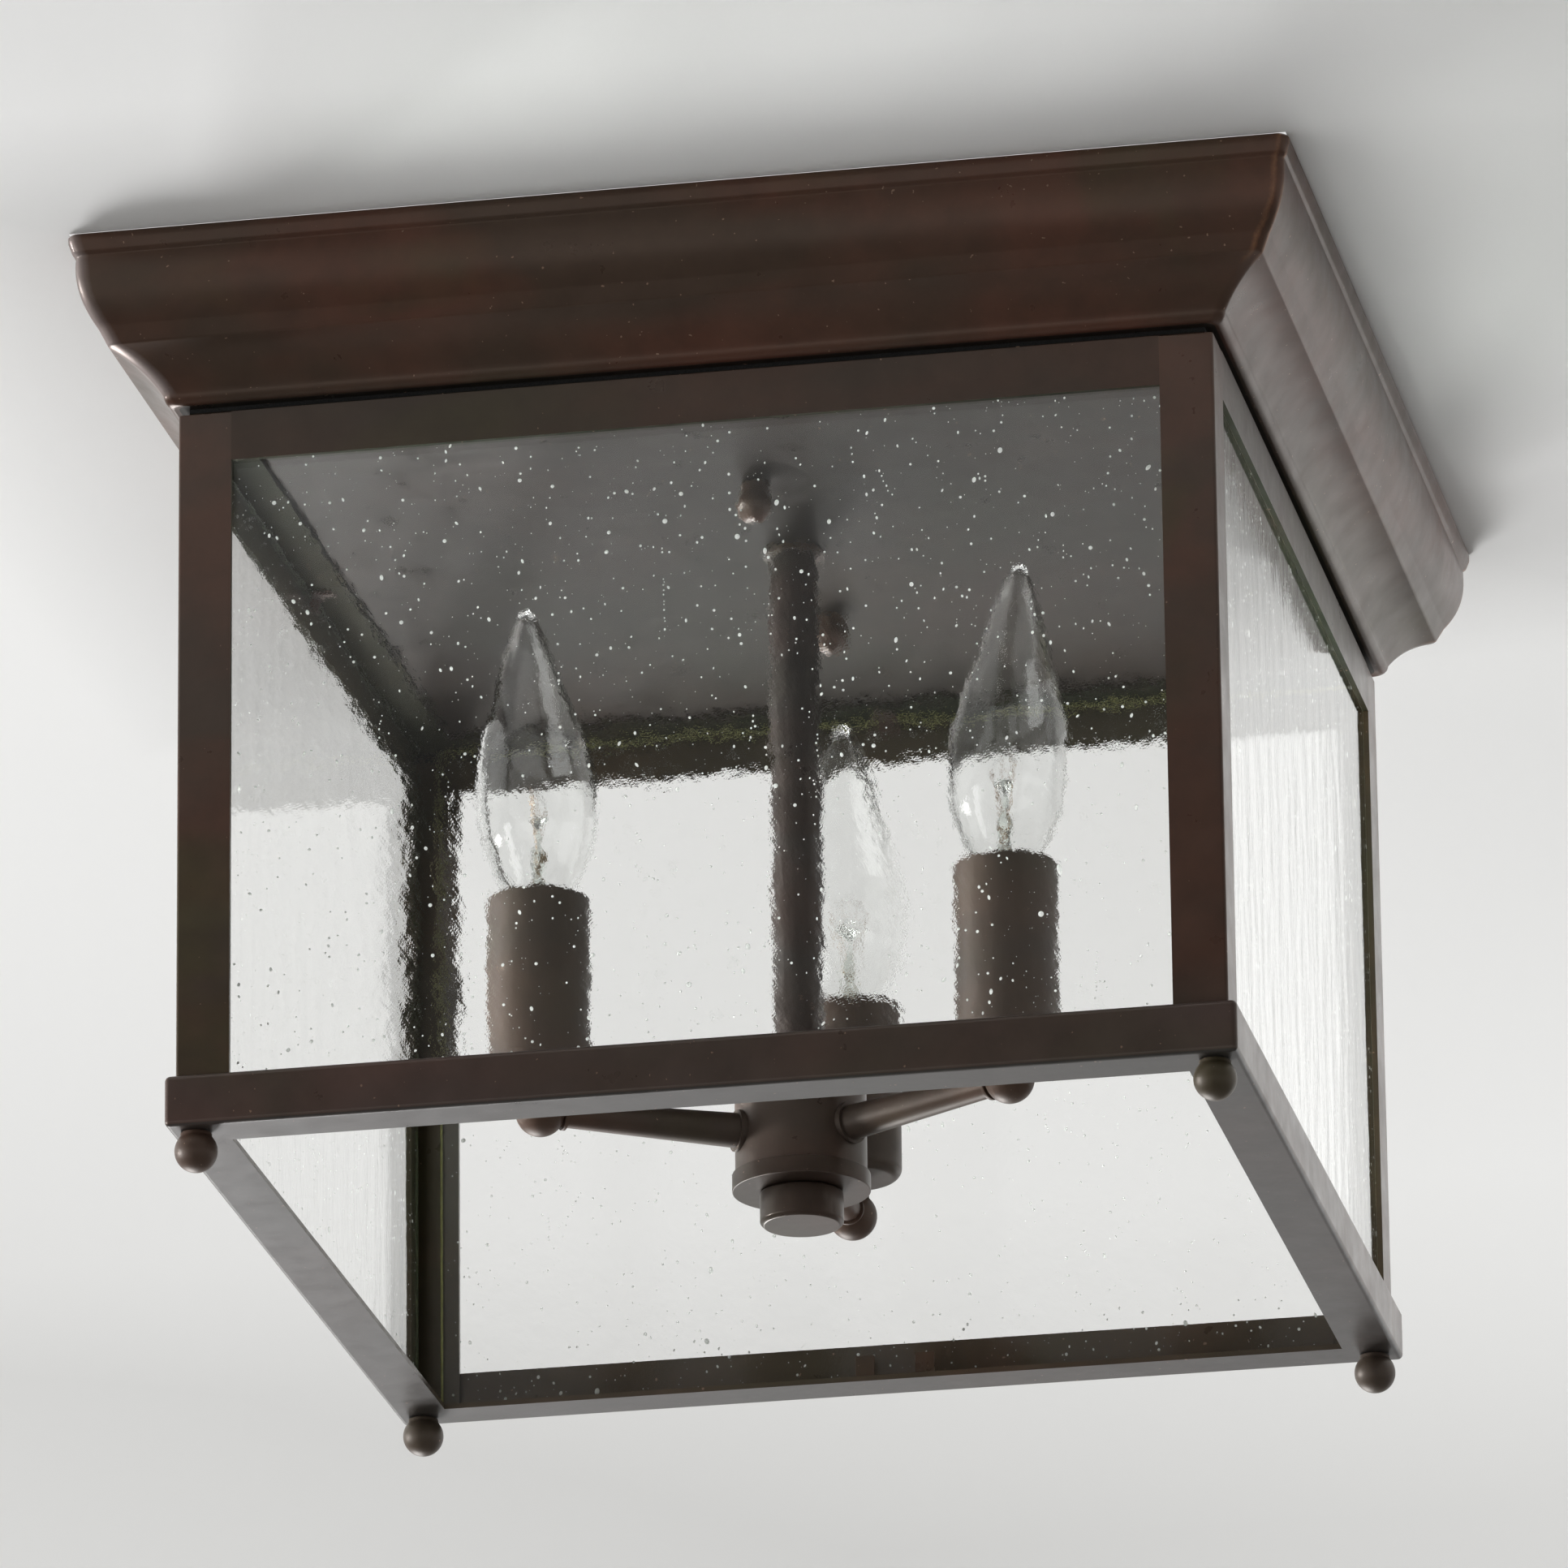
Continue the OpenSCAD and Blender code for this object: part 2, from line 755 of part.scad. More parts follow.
module knuckle(turn) {
    color("#3a302a")
        at_lamp(turn)
            difference() {
                union() {
                    translate([0, 0, arm_z])
                        sphere(d = ball_d);
                    post_of(neck_d, arm_z, sleeve_bottom);
                }
                translate([0, 0, arm_z])
                    sphere(d = ball_hollow_d);
                post_of(tail_d, arm_z, sleeve_bottom + over);
                translate([0, 0, arm_z])
                    rotate([0, -90, 0])
                        cylinder(d = spigot_d, h = ball_d);
            }
}

module candle_sleeve(turn) {
    r = sleeve_d / 2;
    c = sleeve_round;
    round_out = [for (i = [0 : 6]) [r - c + c * sin(15 * i), sleeve_bottom + c - c * cos(15 * i)]];
    k = c - sleeve_wall;
    round_in = [for (i = [6 : -1 : 0]) [r - c + k * sin(15 * i), sleeve_bottom + c - k * cos(15 * i)]];
    color("#4a4038")
        at_lamp(turn)
            rotate_extrude()
                polygon(concat([[tail_d / 2, sleeve_bottom]], round_out,
                    [[r, -sleeve_top - 0.3], [r - 0.3, -sleeve_top], [r - sleeve_wall, -sleeve_top]],
                    round_in, [[tail_d / 2, sleeve_bottom + sleeve_wall]]));
}

module socket(turn) {
    tail_bottom = sleeve_bottom - 5;
    color("#e9e5da")
        at_lamp(turn)
            difference() {
                union() {
                    post_of(socket_d, socket_bottom, socket_top);
                    post_of(tail_d, tail_bottom, socket_bottom + 1);
                }
                post_of(shell_d, socket_bottom + foot_t, socket_top + over);
                post_of(tail_bore, tail_bottom - over, socket_bottom + foot_t + over);
            }
}

// The threaded shell and the sprung centre contact of each socket
module socket_contacts() {
    stage = contact_z - contact_gap;
    color("goldenrod")
        for (turn = [left_turn, right_turn, back_turn])
            at_lamp(turn) {
                difference() {
                    post_of(shell_d, contact_z + 3, socket_top);
                    post_of(shell_d - 2 * shell_wall, contact_z + 3 - over, socket_top + over);
                }
                translate([-2, -2, stage - 0.6])
                    cube([6, 4, 0.6]);
                translate([3.4, -2, socket_bottom + foot_t])
                    cube([0.6, 4, stage - socket_bottom - foot_t]);
            }
}

module bulb_base(turn) {
    r = base_d / 2;
    turns = floor((base_len - 5.5) / bulb_pitch);
    low = contact_z + 4.5;
    thread = [for (i = [0 : turns - 1]) each [[r - 0.4, low + i * bulb_pitch],
        [r, low + (i + 0.3) * bulb_pitch], [r, low + (i + 0.7) * bulb_pitch]]];
    color("silver")
        at_lamp(turn)
            rotate_extrude()
                polygon(concat([[0, contact_z], [1.8, contact_z], [2.6, contact_z + 1],
                    [2.6, contact_z + 1.6], [r - 1.4, contact_z + 3.4]], thread,
                    [[r - 0.4, low + turns * bulb_pitch], [r - 0.2, glass_z], [0, glass_z]]));
}

// Radius of the glass at a fraction of the way from the tip to the widest place, and from there
// to the neck
function upper_glass(t, wide, tip) = tip + (wide - tip) * sin(90 * t);
function lower_glass(t, wide, neck) = neck + (wide - neck) * pow(cos(90 * t), 0.7);

module bulb_glass(turn) {
    skin = [for (w = [0, bulb_wall]) concat(
        [for (i = [0 : glass_steps]) let (t = i / glass_steps)
            [upper_glass(t, bulb_d / 2 - w, bulb_tip_d / 2 - w),
            tip_z - w * 1.5 - t * (tip_z - w * 1.5 - swell_z)]],
        [for (i = [1 : glass_steps]) let (t = i / glass_steps)
            [lower_glass(t, bulb_d / 2 - w, bulb_neck_d / 2 - w), swell_z - t * (swell_z - glass_z)]])];
    last = 2 * glass_steps;
    color([0.95, 0.95, 0.9, 0.3])
        at_lamp(turn)
            rotate_extrude()
                polygon(concat([[0, tip_z]], skin[0], [for (i = [last : -1 : 0]) skin[1][i]],
                    [[0, skin[1][0].y]]));
}

// The glass stem on the base, the supports that stand in it and the filament between them
module bulb_mount(turn) {
    filament_z = tip_z - filament_drop;
    color("khaki")
        at_lamp(turn) {
            post_of(6.4, glass_z, glass_z + 6);
            post_of(3.2, glass_z, filament_z - 8);
            wire([[-1, 0, filament_z - 10], [-filament_w / 2, 0, filament_z],
                [0, 0, filament_z + 3], [filament_w / 2, 0, filament_z],
                [1, 0, filament_z - 10]], 0.6);
            post_of(0.6, filament_z - 9, filament_z + 3);
        }
}

// A round bar through a row of points, with a ball at each bend
module wire(path, d) {
    for (i = [1 : len(path) - 1]) {
        v = path[i] - path[i - 1];
        translate(path[i - 1])
            rotate([0, acos(v.z / norm(v)), atan2(v.y, v.x)])
                cylinder(d = d, h = norm(v), $fn = 24);
    }
    for (i = [1 : len(path) - 2])
        translate(path[i])
            sphere(d = d + 0.1, $fn = 24);
}

// ---------------------------------------------------------------- wiring

module leads() {
    run = floor_top + nipple_rise + 6;
    color("#d8c9a0") {
        lead(back_turn, 7, run);
        lead(right_turn, -7, run);
        lead(left_turn, 0, run + 4);
    }
}

// From the terminal block over the nipple, down the stem and along one arm to its socket
module lead(turn, y, run) {
    top = [block_x + lead_in, y, floor_top + block_h];
    bend = [lead_r * cos(turn), lead_r * sin(turn), run];
    lamp = [lamp_r * cos(turn), lamp_r * sin(turn), arm_z];
    wire([top, [top.x, y, run], bend, [bend.x, bend.y, arm_z], lamp,
        [lamp.x, lamp.y, socket_bottom + foot_t + 2]], lead_d);
}

module terminal_block() {
    color("ivory")
        translate([block_x, -block_w / 2, floor_top])
            cube([block_l, block_w, block_h]);
}

// A ring terminal under the earth screw and its lead down to the terminal block
module earth_lead() {
    z = -strap_t - earth_d / 2 - tongue_gap;
    far = [block_x + block_l - lead_in, block_w / 2 - earth_in, z];
    color("seagreen") {
        difference() {
            union() {
                post_of(ring_d, -strap_t - ring_t, -strap_t, 0, earth_y);
                translate([0, earth_y - tongue_w / 2, -strap_t - ring_t])
                    cube([tongue_l, tongue_w, ring_t]);
            }
            post_of(ring_bore, -strap_t - 2, over, 0, earth_y);
        }
        wire([[tongue_l + 0.5, earth_y, z], far, [far.x, far.y, floor_top + block_h]], earth_d);
    }
}

crossbar();
fixture_studs();
stud_nuts();
earth_screw();
canopy();
canopy_gasket();
top_plate();
top_frame();
corner_post(0);  // post_front_left
corner_post(90);  // post_front_right
corner_post(180);  // post_back_right
corner_post(270);  // post_back_left
bottom_frame();
corner_lugs();
pane(0);  // pane_front
pane(90);  // pane_right
pane(180);  // pane_back
pane(270);  // pane_left
glass_clips();
upper_clips();
cap_nut(-1);  // cap_nut_front
cap_nut(1);  // cap_nut_back
stem_nipple();
nipple_locknuts();
stem_collar();
stem();
hub();
hub_cover();
hub_bridge();
hub_knob();
arm(left_turn);  // arm_left
arm(right_turn);  // arm_right
arm(back_turn);  // arm_back
knuckle(left_turn);  // knuckle_left
knuckle(right_turn);  // knuckle_right
knuckle(back_turn);  // knuckle_back
candle_sleeve(left_turn);  // sleeve_left
candle_sleeve(right_turn);  // sleeve_right
candle_sleeve(back_turn);  // sleeve_back
socket(left_turn);  // socket_left
socket(right_turn);  // socket_right
socket(back_turn);  // socket_back
socket_contacts();
bulb_base(left_turn);  // bulb_base_left
bulb_base(right_turn);  // bulb_base_right
bulb_base(back_turn);  // bulb_base_back
bulb_glass(left_turn);  // bulb_glass_left
bulb_glass(right_turn);  // bulb_glass_right
bulb_glass(back_turn);  // bulb_glass_back
bulb_mount(left_turn);  // bulb_mount_left
bulb_mount(right_turn);  // bulb_mount_right
bulb_mount(back_turn);  // bulb_mount_back
finial(0);  // finial_front_left
finial(90);  // finial_front_right
finial(180);  // finial_back_right
finial(270);  // finial_back_left
leads();
terminal_block();
earth_lead();
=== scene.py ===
"""Porch ceiling lantern: the looks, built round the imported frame. Metres, row frame, +Z up."""
import json
import math
import random

import bmesh
import bpy
from mathutils import Matrix, Vector

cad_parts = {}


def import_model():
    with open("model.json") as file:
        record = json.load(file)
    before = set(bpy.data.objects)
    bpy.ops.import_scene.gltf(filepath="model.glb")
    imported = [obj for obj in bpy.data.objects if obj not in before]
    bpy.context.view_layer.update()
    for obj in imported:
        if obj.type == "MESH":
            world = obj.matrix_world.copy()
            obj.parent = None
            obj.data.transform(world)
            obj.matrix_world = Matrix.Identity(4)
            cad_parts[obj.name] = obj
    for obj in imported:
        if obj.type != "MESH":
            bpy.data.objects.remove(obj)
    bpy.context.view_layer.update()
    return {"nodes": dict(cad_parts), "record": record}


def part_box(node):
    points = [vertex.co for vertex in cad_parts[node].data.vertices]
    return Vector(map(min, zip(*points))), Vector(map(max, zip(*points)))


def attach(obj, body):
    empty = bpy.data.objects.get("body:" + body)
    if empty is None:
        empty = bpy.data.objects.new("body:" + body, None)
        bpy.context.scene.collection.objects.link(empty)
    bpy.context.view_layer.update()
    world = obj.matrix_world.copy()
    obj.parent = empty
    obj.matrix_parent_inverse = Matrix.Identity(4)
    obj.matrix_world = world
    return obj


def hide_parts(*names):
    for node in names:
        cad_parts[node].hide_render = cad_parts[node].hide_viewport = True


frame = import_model()

NODES = frame["nodes"]
BODY_OF = {n: b for b, ns in frame["record"]["behaviour"]["bodies"].items() for n in ns}
SLOT_OF = {s["node"]: s["material_slot"] for s in frame["record"]["subparts"]}
# Each lamp's bearing about the stem, how far it stands from it, and how its bulb's tip leans
LAMPS = {"left": 210.0, "right": 330.0, "back": 90.0}
LAMP_R = 0.0741
LEAN = {"left": (-0.0032, -0.0006, 0.0), "right": (0.0058, -0.0022, 0.0018), "back": (-0.0012, 0.0, 0.0)}


def lamp_xy(name):
    a = math.radians(LAMPS[name])
    return LAMP_R * math.cos(a), LAMP_R * math.sin(a)


# ------------------------------------------------------------------ node materials

class Mat:
    """A node material, built a node at a time."""

    def __init__(self, name):
        self.mat = bpy.data.materials.new(name)
        self.mat.use_nodes = True
        self.tree = self.mat.node_tree
        self.tree.nodes.clear()
        self.out = self.tree.nodes.new("ShaderNodeOutputMaterial")
        self.coord = self.tree.nodes.new("ShaderNodeTexCoord").outputs["Object"]

    def node(self, kind, **values):
        n = self.tree.nodes.new(kind)
        for key, value in values.items():
            self.set(n, key.replace("_", " "), value)
        return n

    def set(self, n, key, value):
        """Links a socket to the input, or gives the input its own value: a number, or a colour without alpha."""
        if isinstance(value, bpy.types.NodeSocket):
            self.tree.links.new(value, n.inputs[key])
        else:
            n.inputs[key].default_value = (*value, 1.0) if isinstance(value, tuple) else value

    def link(self, a, b):
        self.tree.links.new(a, b)

    def place(self):
        """The object's own X, Y and Z."""
        n = self.node("ShaderNodeSeparateXYZ")
        self.link(self.coord, n.inputs[0])
        return n.outputs

    def mapped(self, scale, location=(0.0, 0.0, 0.0)):
        n = self.node("ShaderNodeMapping")
        n.inputs["Location"].default_value = location
        n.inputs["Scale"].default_value = scale
        self.link(self.coord, n.inputs["Vector"])
        return n.outputs["Vector"]

    def noise(self, scale, detail=4.0, rough=0.5, vector=None, distortion=0.0):
        n = self.node("ShaderNodeTexNoise", Scale=scale, Detail=detail, Roughness=rough, Distortion=distortion)
        self.link(vector if vector is not None else self.coord, n.inputs["Vector"])
        return n.outputs["Fac"]

    def ramp(self, fac, stops):
        """Stops are (position, grey or colour)."""
        n = self.node("ShaderNodeValToRGB", Fac=fac)
        e = n.color_ramp.elements
        while len(e) < len(stops):
            e.new(0.5)
        for item, (p, c) in zip(e, stops):
            item.position = p
            item.color = (*c, 1.0) if isinstance(c, tuple) else (c, c, c, 1.0)
        return n.outputs["Color"]

    def mix(self, fac, a, b):
        n = self.node("ShaderNodeMix")
        n.data_type = "RGBA"
        for key, value in ((0, fac), (6, a), (7, b)):
            self.set(n, key, value)
        return n.outputs[2]

    def math(self, op, a, b=0.0, clamp=False):
        n = self.node("ShaderNodeMath")
        n.operation = op
        n.use_clamp = clamp
        self.set(n, 0, a)
        self.set(n, 1, b)
        return n.outputs[0]

    def times(self, first, *factors):
        """The product of all."""
        for factor in factors:
            first = self.math("MULTIPLY", first, factor)
        return first

    def past(self, value, start, rate):
        """Rises from 0 at the start by the rate, up to 1."""
        return self.math("MULTIPLY", self.math("SUBTRACT", value, start), rate, clamp=True)

    def bump(self, height, strength, distance):
        return self.node("ShaderNodeBump", Height=height, Strength=strength, Distance=distance).outputs["Normal"]

    def blend(self, fac, a, b):
        """Two shaders mixed."""
        n = self.node("ShaderNodeMixShader")
        for key, value in enumerate((fac, a, b)):
            self.set(n, key, value)
        return n.outputs[0]

    def surface(self, shader):
        self.link(shader, self.out.inputs["Surface"])
        return self.mat


# Drifts of colour in the enamel's base coat
BASE, RED, OLIVE = (0.066, 0.047, 0.037), (0.094, 0.047, 0.033), (0.068, 0.056, 0.029)
# Copper speck, copper at rubbed edges, copper at the right mitres, a pale painted highlight at the left ones, and
# painted shade
SPECK, COPPER, MITRE_COPPER = (0.26, 0.17, 0.12), (0.27, 0.115, 0.058), (0.23, 0.115, 0.065)
MITRE_PAINTED_HIGHLIGHT, PAINTED_SHADE_DARK = (0.42, 0.365, 0.355), (0.010, 0.008, 0.006)


def mitre_wear_and_highlight(m, p, colour):
    """The canopy's mitres: a frayed line of rubbed copper beside the right ones, a pale ridge of painted highlight on
    the left ones.
    """
    place = m.place()
    east, z = place["X"], place["Z"]
    aside = m.math("ABSOLUTE", m.math("SUBTRACT", m.math("ABSOLUTE", east), m.math("ABSOLUTE", place["Y"])))
    # the copper runs 3.4 mm beside the mitre, 1.3 mm to each side, from 31 mm below the ceiling up
    frayed = m.math("ADD", aside, m.times(m.noise(260, 4, 0.7), 0.0022))
    off_line = m.math("ABSOLUTE", m.math("SUBTRACT", frayed, 0.0034))
    line = m.math("SUBTRACT", 1.0, m.math("DIVIDE", off_line, 0.0013), clamp=True)
    broken = m.ramp(m.noise(75, 6, 0.75), [(0.38, 0.05), (0.60, 1.0)])
    right = m.math("MULTIPLY", east, 50.0, clamp=True)
    copper = m.times(m.times(line, m.past(z, -0.031, 300.0)), m.times(right, broken))
    colour = m.mix(copper, colour, MITRE_COPPER)
    # the grey painted highlight lies on the mitre itself, 4.6 mm to each side, down to just above the foot
    wear_and_highlight = m.math("ADD", aside, m.times(m.noise(120, 4, 0.6), 0.0018))
    ridge = m.math("SUBTRACT", 1.15, m.math("DIVIDE", wear_and_highlight, 0.0046), clamp=True)
    left = m.times(m.math("MULTIPLY", east, -50.0, clamp=True), m.past(z, -0.0408, 400.0))
    pale = m.times(ridge, left, m.ramp(m.noise(45, 3, 0.5), [(0.30, 0.35), (0.60, 1.0)]))
    m.set(p, "Metallic", m.times(m.math("MAXIMUM", copper, pale), 0.35))
    return m.mix(pale, colour, MITRE_PAINTED_HIGHLIGHT)


def bronze(name, base=BASE, red=RED, olive=OLIVE, rough=(0.27, 0.38), wear_and_highlight=0.0, bump=0.03, ior=1.5,
           tint=(1.0, 0.89, 0.81), mitres=False, painted_shade_above=None):
    """Dark bronze enamel: drifts of red and olive, faint specks, and copper where it is rubbed."""
    m = Mat(name)
    drift = m.ramp(m.noise(13, 3, 0.5, m.mapped((1.0, 1.0, 2.2))), [(0.40, 0.0), (0.60, 1.0)])
    patch = m.ramp(m.noise(9, 3, 0.5, m.mapped((1.3, 0.8, 2.0)), 0.5), [(0.50, 0.0), (0.68, 1.0)])
    cloud = m.ramp(m.noise(70, 5, 0.62), [(0.35, 0.0), (0.75, 0.45)])
    speck = m.ramp(m.noise(700, 1, 0.5), [(0.765, 0.0), (0.79, 1.0)])
    colour = m.mix(patch, m.mix(drift, base, red), olive)
    colour = m.mix(cloud, colour, tuple(c * 0.45 for c in base))
    colour = m.mix(speck, colour, SPECK)
    p = m.node("ShaderNodeBsdfPrincipled", IOR=ior)
    if wear_and_highlight > 0:
        rub = m.ramp(m.noise(60, 8, 0.75), [(1.0 - wear_and_highlight, 0.0), (1.05 - wear_and_highlight, 1.0)])
        colour = m.mix(rub, colour, COPPER)
        m.set(p, "Metallic", m.times(rub, 0.8))
    if painted_shade_above is not None:
        # painted shade: above this ragged height the colour turns near black, under the top rail
        ragged = m.math("ADD", m.place()["Z"], m.times(m.noise(160, 4, 0.7), 0.0016))
        colour = m.mix(m.past(ragged, painted_shade_above, 1500.0), colour, PAINTED_SHADE_DARK)
    if mitres:
        colour = mitre_wear_and_highlight(m, p, colour)
    m.set(p, "Base Color", colour)
    m.set(p, "Specular Tint", tint)
    m.set(p, "Roughness", m.ramp(m.noise(90, 5, 0.6), [(0.3, rough[0]), (0.7, rough[1])]))
    height = m.math("ADD", m.times(m.noise(1300, 2, 0.5), 0.25), m.noise(110, 3, 0.5))
    m.set(p, "Normal", m.bump(height, bump, 0.0004))
    return m.surface(p.outputs["BSDF"])


def plain(name, colour, metallic, rough, vary=0.25, scale=180, peel=0.1):
    """Plated or moulded stuff with a little cloudiness and a fine surface."""
    m = Mat(name)
    dark = tuple(c * (1 - vary) for c in colour)
    light = tuple(min(1.0, c * (1 + vary * 0.5)) for c in colour)
    p = m.node("ShaderNodeBsdfPrincipled", Metallic=metallic, Base_Color=m.mix(m.noise(scale, 5, 0.6), dark, light),
               Roughness=m.ramp(m.noise(scale * 3, 3), [(0.3, rough * 0.85), (0.7, rough * 1.15)]),
               Normal=m.bump(m.noise(2200, 2), peel, 0.0002))
    return m.surface(p.outputs["BSDF"])


def see_through(m, colour, ior, normal, shade):
    """Glass to the eye, and a clear sheet of this shade to the lamps' light, so what stands behind it is lit."""
    g = m.node("ShaderNodeBsdfGlass", Color=colour, IOR=ior, Roughness=0.0)
    if normal is not None:
        m.link(normal, g.inputs["Normal"])
    t = m.node("ShaderNodeBsdfTransparent", Color=shade)
    return m.surface(m.blend(m.node("ShaderNodeLightPath").outputs["Is Shadow Ray"], g.outputs[0], t.outputs[0]))


def glass(name, colour, waves=False):
    """Clear glass, smooth or with slow waves."""
    m = Mat(name)
    normal = m.bump(m.noise(330, 3, 0.5), 0.035, 0.0006) if waves else None
    return see_through(m, colour, 1.5, normal, tuple(0.96 * c for c in colour))


def seeded_glass(name, along, shift, inner, swell, shiver, ior):
    """Old drawn glass: both faces wander together, so the mirrored world tears and the seen one only shivers."""
    m = Mat(name)
    place = m.mapped(along, shift)
    height = m.math("ADD", m.times(m.noise(95, 1, 0.5, place), swell), m.times(m.noise(480, 3, 0.6, place), shiver))
    if inner:
        height = m.times(height, -1.0)
    return see_through(m, (0.998, 0.999, 0.997), ior, m.bump(height, 1.0, 0.001), (0.955, 0.965, 0.955))


def seed_glass(name):
    """The skin of an air bubble: glass that bends light at its rim, and a white diffuse and translucent face that is
    a painted glint.
    """
    m = Mat(name)
    g = m.node("ShaderNodeBsdfGlass", IOR=0.70)
    white = m.mix(m.noise(900, 2), (0.90, 0.92, 0.90), (0.97, 0.98, 0.96))
    front = m.node("ShaderNodeBsdfDiffuse", Color=white)
    back = m.node("ShaderNodeBsdfTranslucent", Color=white)
    rim = m.node("ShaderNodeLayerWeight", Blend=0.35)
    painted_glint = m.ramp(rim.outputs["Facing"], [(0.35, 0.95), (0.85, 0.10)])
    return m.surface(m.blend(painted_glint, g.outputs[0], m.blend(0.78, front.outputs[0], back.outputs[0])))


# The record's material slots, and finishes that stand in for a slot on one piece or on some of its faces
MATS = {
    "bronze": bronze("bronze_enamel"),
    "canopy_bronze": bronze("canopy_enamel", (0.058, 0.037, 0.026), (0.100, 0.041, 0.027), (0.060, 0.052, 0.027),
                            tint=(1.0, 0.80, 0.68), mitres=True),
    # the cage's inner faces, with painted shade near black along their top
    "bronze_inner": bronze("bronze_inner", (0.052, 0.044, 0.026), (0.068, 0.048, 0.026), (0.048, 0.048, 0.022),
                           painted_shade_above=-0.0478),
    "bronze_under": bronze("bronze_under", (0.052, 0.045, 0.041), (0.060, 0.047, 0.041), (0.050, 0.047, 0.041),
                           tint=(0.95, 0.91, 0.91)),
    # the downward faces of the top frame and posts: dark and greenish, rough, with little sheen
    "rail_underside_dark": bronze("rail_underside_dark", (0.026, 0.030, 0.018), (0.036, 0.032, 0.018), (0.022, 0.030, 0.014),
                         rough=(0.55, 0.75), bump=0.3, ior=1.12),
    # darker enamel: on the top rail it is painted shade under the canopy, on the hub's cover and knob a darker tone
    "bronze_dim": bronze("bronze_dim", (0.046, 0.034, 0.027), (0.064, 0.035, 0.026), (0.045, 0.038, 0.022),
                         tint=(0.92, 0.80, 0.70)),
    "stem_bronze": bronze("stem_enamel", (0.040, 0.034, 0.030), (0.052, 0.034, 0.028), (0.040, 0.036, 0.026),
                          tint=(0.92, 0.84, 0.78)),
    "bronze_rail_low": bronze("bronze_rail_low", (0.066, 0.050, 0.034), (0.080, 0.052, 0.034), (0.056, 0.052, 0.030)),
    "bronze_low": bronze("bronze_low", (0.086, 0.062, 0.055), (0.104, 0.064, 0.054), (0.080, 0.062, 0.048)),
    "bronze_satin": bronze("bronze_satin", (0.070, 0.051, 0.040), (0.094, 0.054, 0.038),
                           rough=(0.42, 0.52), bump=0.06),
    "bronze_worn": bronze("bronze_edges", wear_and_highlight=0.41, rough=(0.25, 0.38)),
    "plate_bronze": bronze("plate_enamel", (0.024, 0.020, 0.016), (0.030, 0.021, 0.016), (0.024, 0.023, 0.016),
                           rough=(0.26, 0.40), bump=0.02, ior=1.255),
    "sleeve_bronze": bronze("sleeve_enamel", (0.066, 0.051, 0.041), (0.088, 0.059, 0.043), (0.068, 0.058, 0.038),
                            rough=(0.38, 0.50)),
    "clip_steel": bronze("clip_enamel", rough=(0.25, 0.36), wear_and_highlight=0.36),
    "zinc_steel": plain("zinc_plate", (0.50, 0.51, 0.52), 0.95, 0.36),
    "green_screw": plain("green_plate", (0.05, 0.22, 0.08), 0.6, 0.34),
    "foam": plain("black_foam", (0.012, 0.012, 0.012), 0.0, 0.85, vary=0.4, scale=900, peel=0.6),
    "brass": plain("raw_brass", (0.62, 0.43, 0.17), 0.95, 0.33),
    "socket_resin": plain("socket_resin", (0.62, 0.59, 0.52), 0.0, 0.42),
    "base_metal": plain("nickel_plate", (0.58, 0.56, 0.52), 0.95, 0.30),
    "bulb_wires": plain("bare_wire", (0.42, 0.30, 0.20), 0.9, 0.35),
    "filament": plain("filament_wire", (0.22, 0.20, 0.19), 0.8, 0.45),
    "lead_jacket": plain("lead_jacket", (0.50, 0.44, 0.31), 0.0, 0.5),
    "earth_jacket": plain("earth_jacket", (0.03, 0.20, 0.06), 0.0, 0.45),
    "block_resin": plain("block_resin", (0.66, 0.63, 0.55), 0.0, 0.45),
    "pane_glass": glass("seeded_glass", (0.985, 0.995, 0.985), waves=True),
    "pane_edge": plain("pane_cut_edge", (0.085, 0.105, 0.050), 0.0, 0.35, vary=0.9, scale=600),
    # the back pane's cut edges: the green of cut glass, made far lighter as painted light
    "pane_edge_far_painted_light": plain("pane_far_edge_painted_light", (0.42, 0.42, 0.14), 0.0, 0.40, vary=0.9, scale=420),
    "bubble": seed_glass("glass_seed"),
    "bulb_glass": glass("bulb_glass", (0.996, 0.998, 0.996)),
    "mount_glass": glass("mount_glass", (0.95, 0.97, 0.95)),
}

# Each pane: how its waves are stretched, where they start, how strong its swell and shiver are, and its
# refractive index, set by how much it mirrors in the photograph
PANE_WAVES = {
    "front": ((1, 0, 1), (0, 0, 0), 0.080, 0.034, 1.34),
    "back": ((1, 0, 1), (0.31, 0, 0.17), 0.080, 0.034, 1.34),
    "left": ((0, 1, 0.3), (0, 0.43, 0.23), 0.065, 0.022, 1.18),
    "right": ((0, 1, 0.3), (0, 0.71, 0.53), 0.065, 0.022, 1.5),
}
for side, (along, shift, *waves) in PANE_WAVES.items():
    for face, inner in (("out_", False), ("in_", True)):
        MATS["pane_" + face + side] = seeded_glass("seeded_glass_" + face + side, along, shift, inner, *waves)

# ------------------------------------------------------------------ mesh helpers


def new_piece(name, body, mats, bm, smooth=35.0):
    """A mesh object in the row frame that rides on a body. Edges sharper than smooth degrees stay sharp."""
    mesh = bpy.data.meshes.new(name)
    bm.to_mesh(mesh)
    bm.free()
    for p in mesh.polygons:
        p.use_smooth = True
    mesh.set_sharp_from_angle(angle=math.radians(smooth))
    for key in mats:
        mesh.materials.append(MATS[key])
    ob = bpy.data.objects.new(name, mesh)
    bpy.context.scene.collection.objects.link(ob)
    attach(ob, body)
    return ob


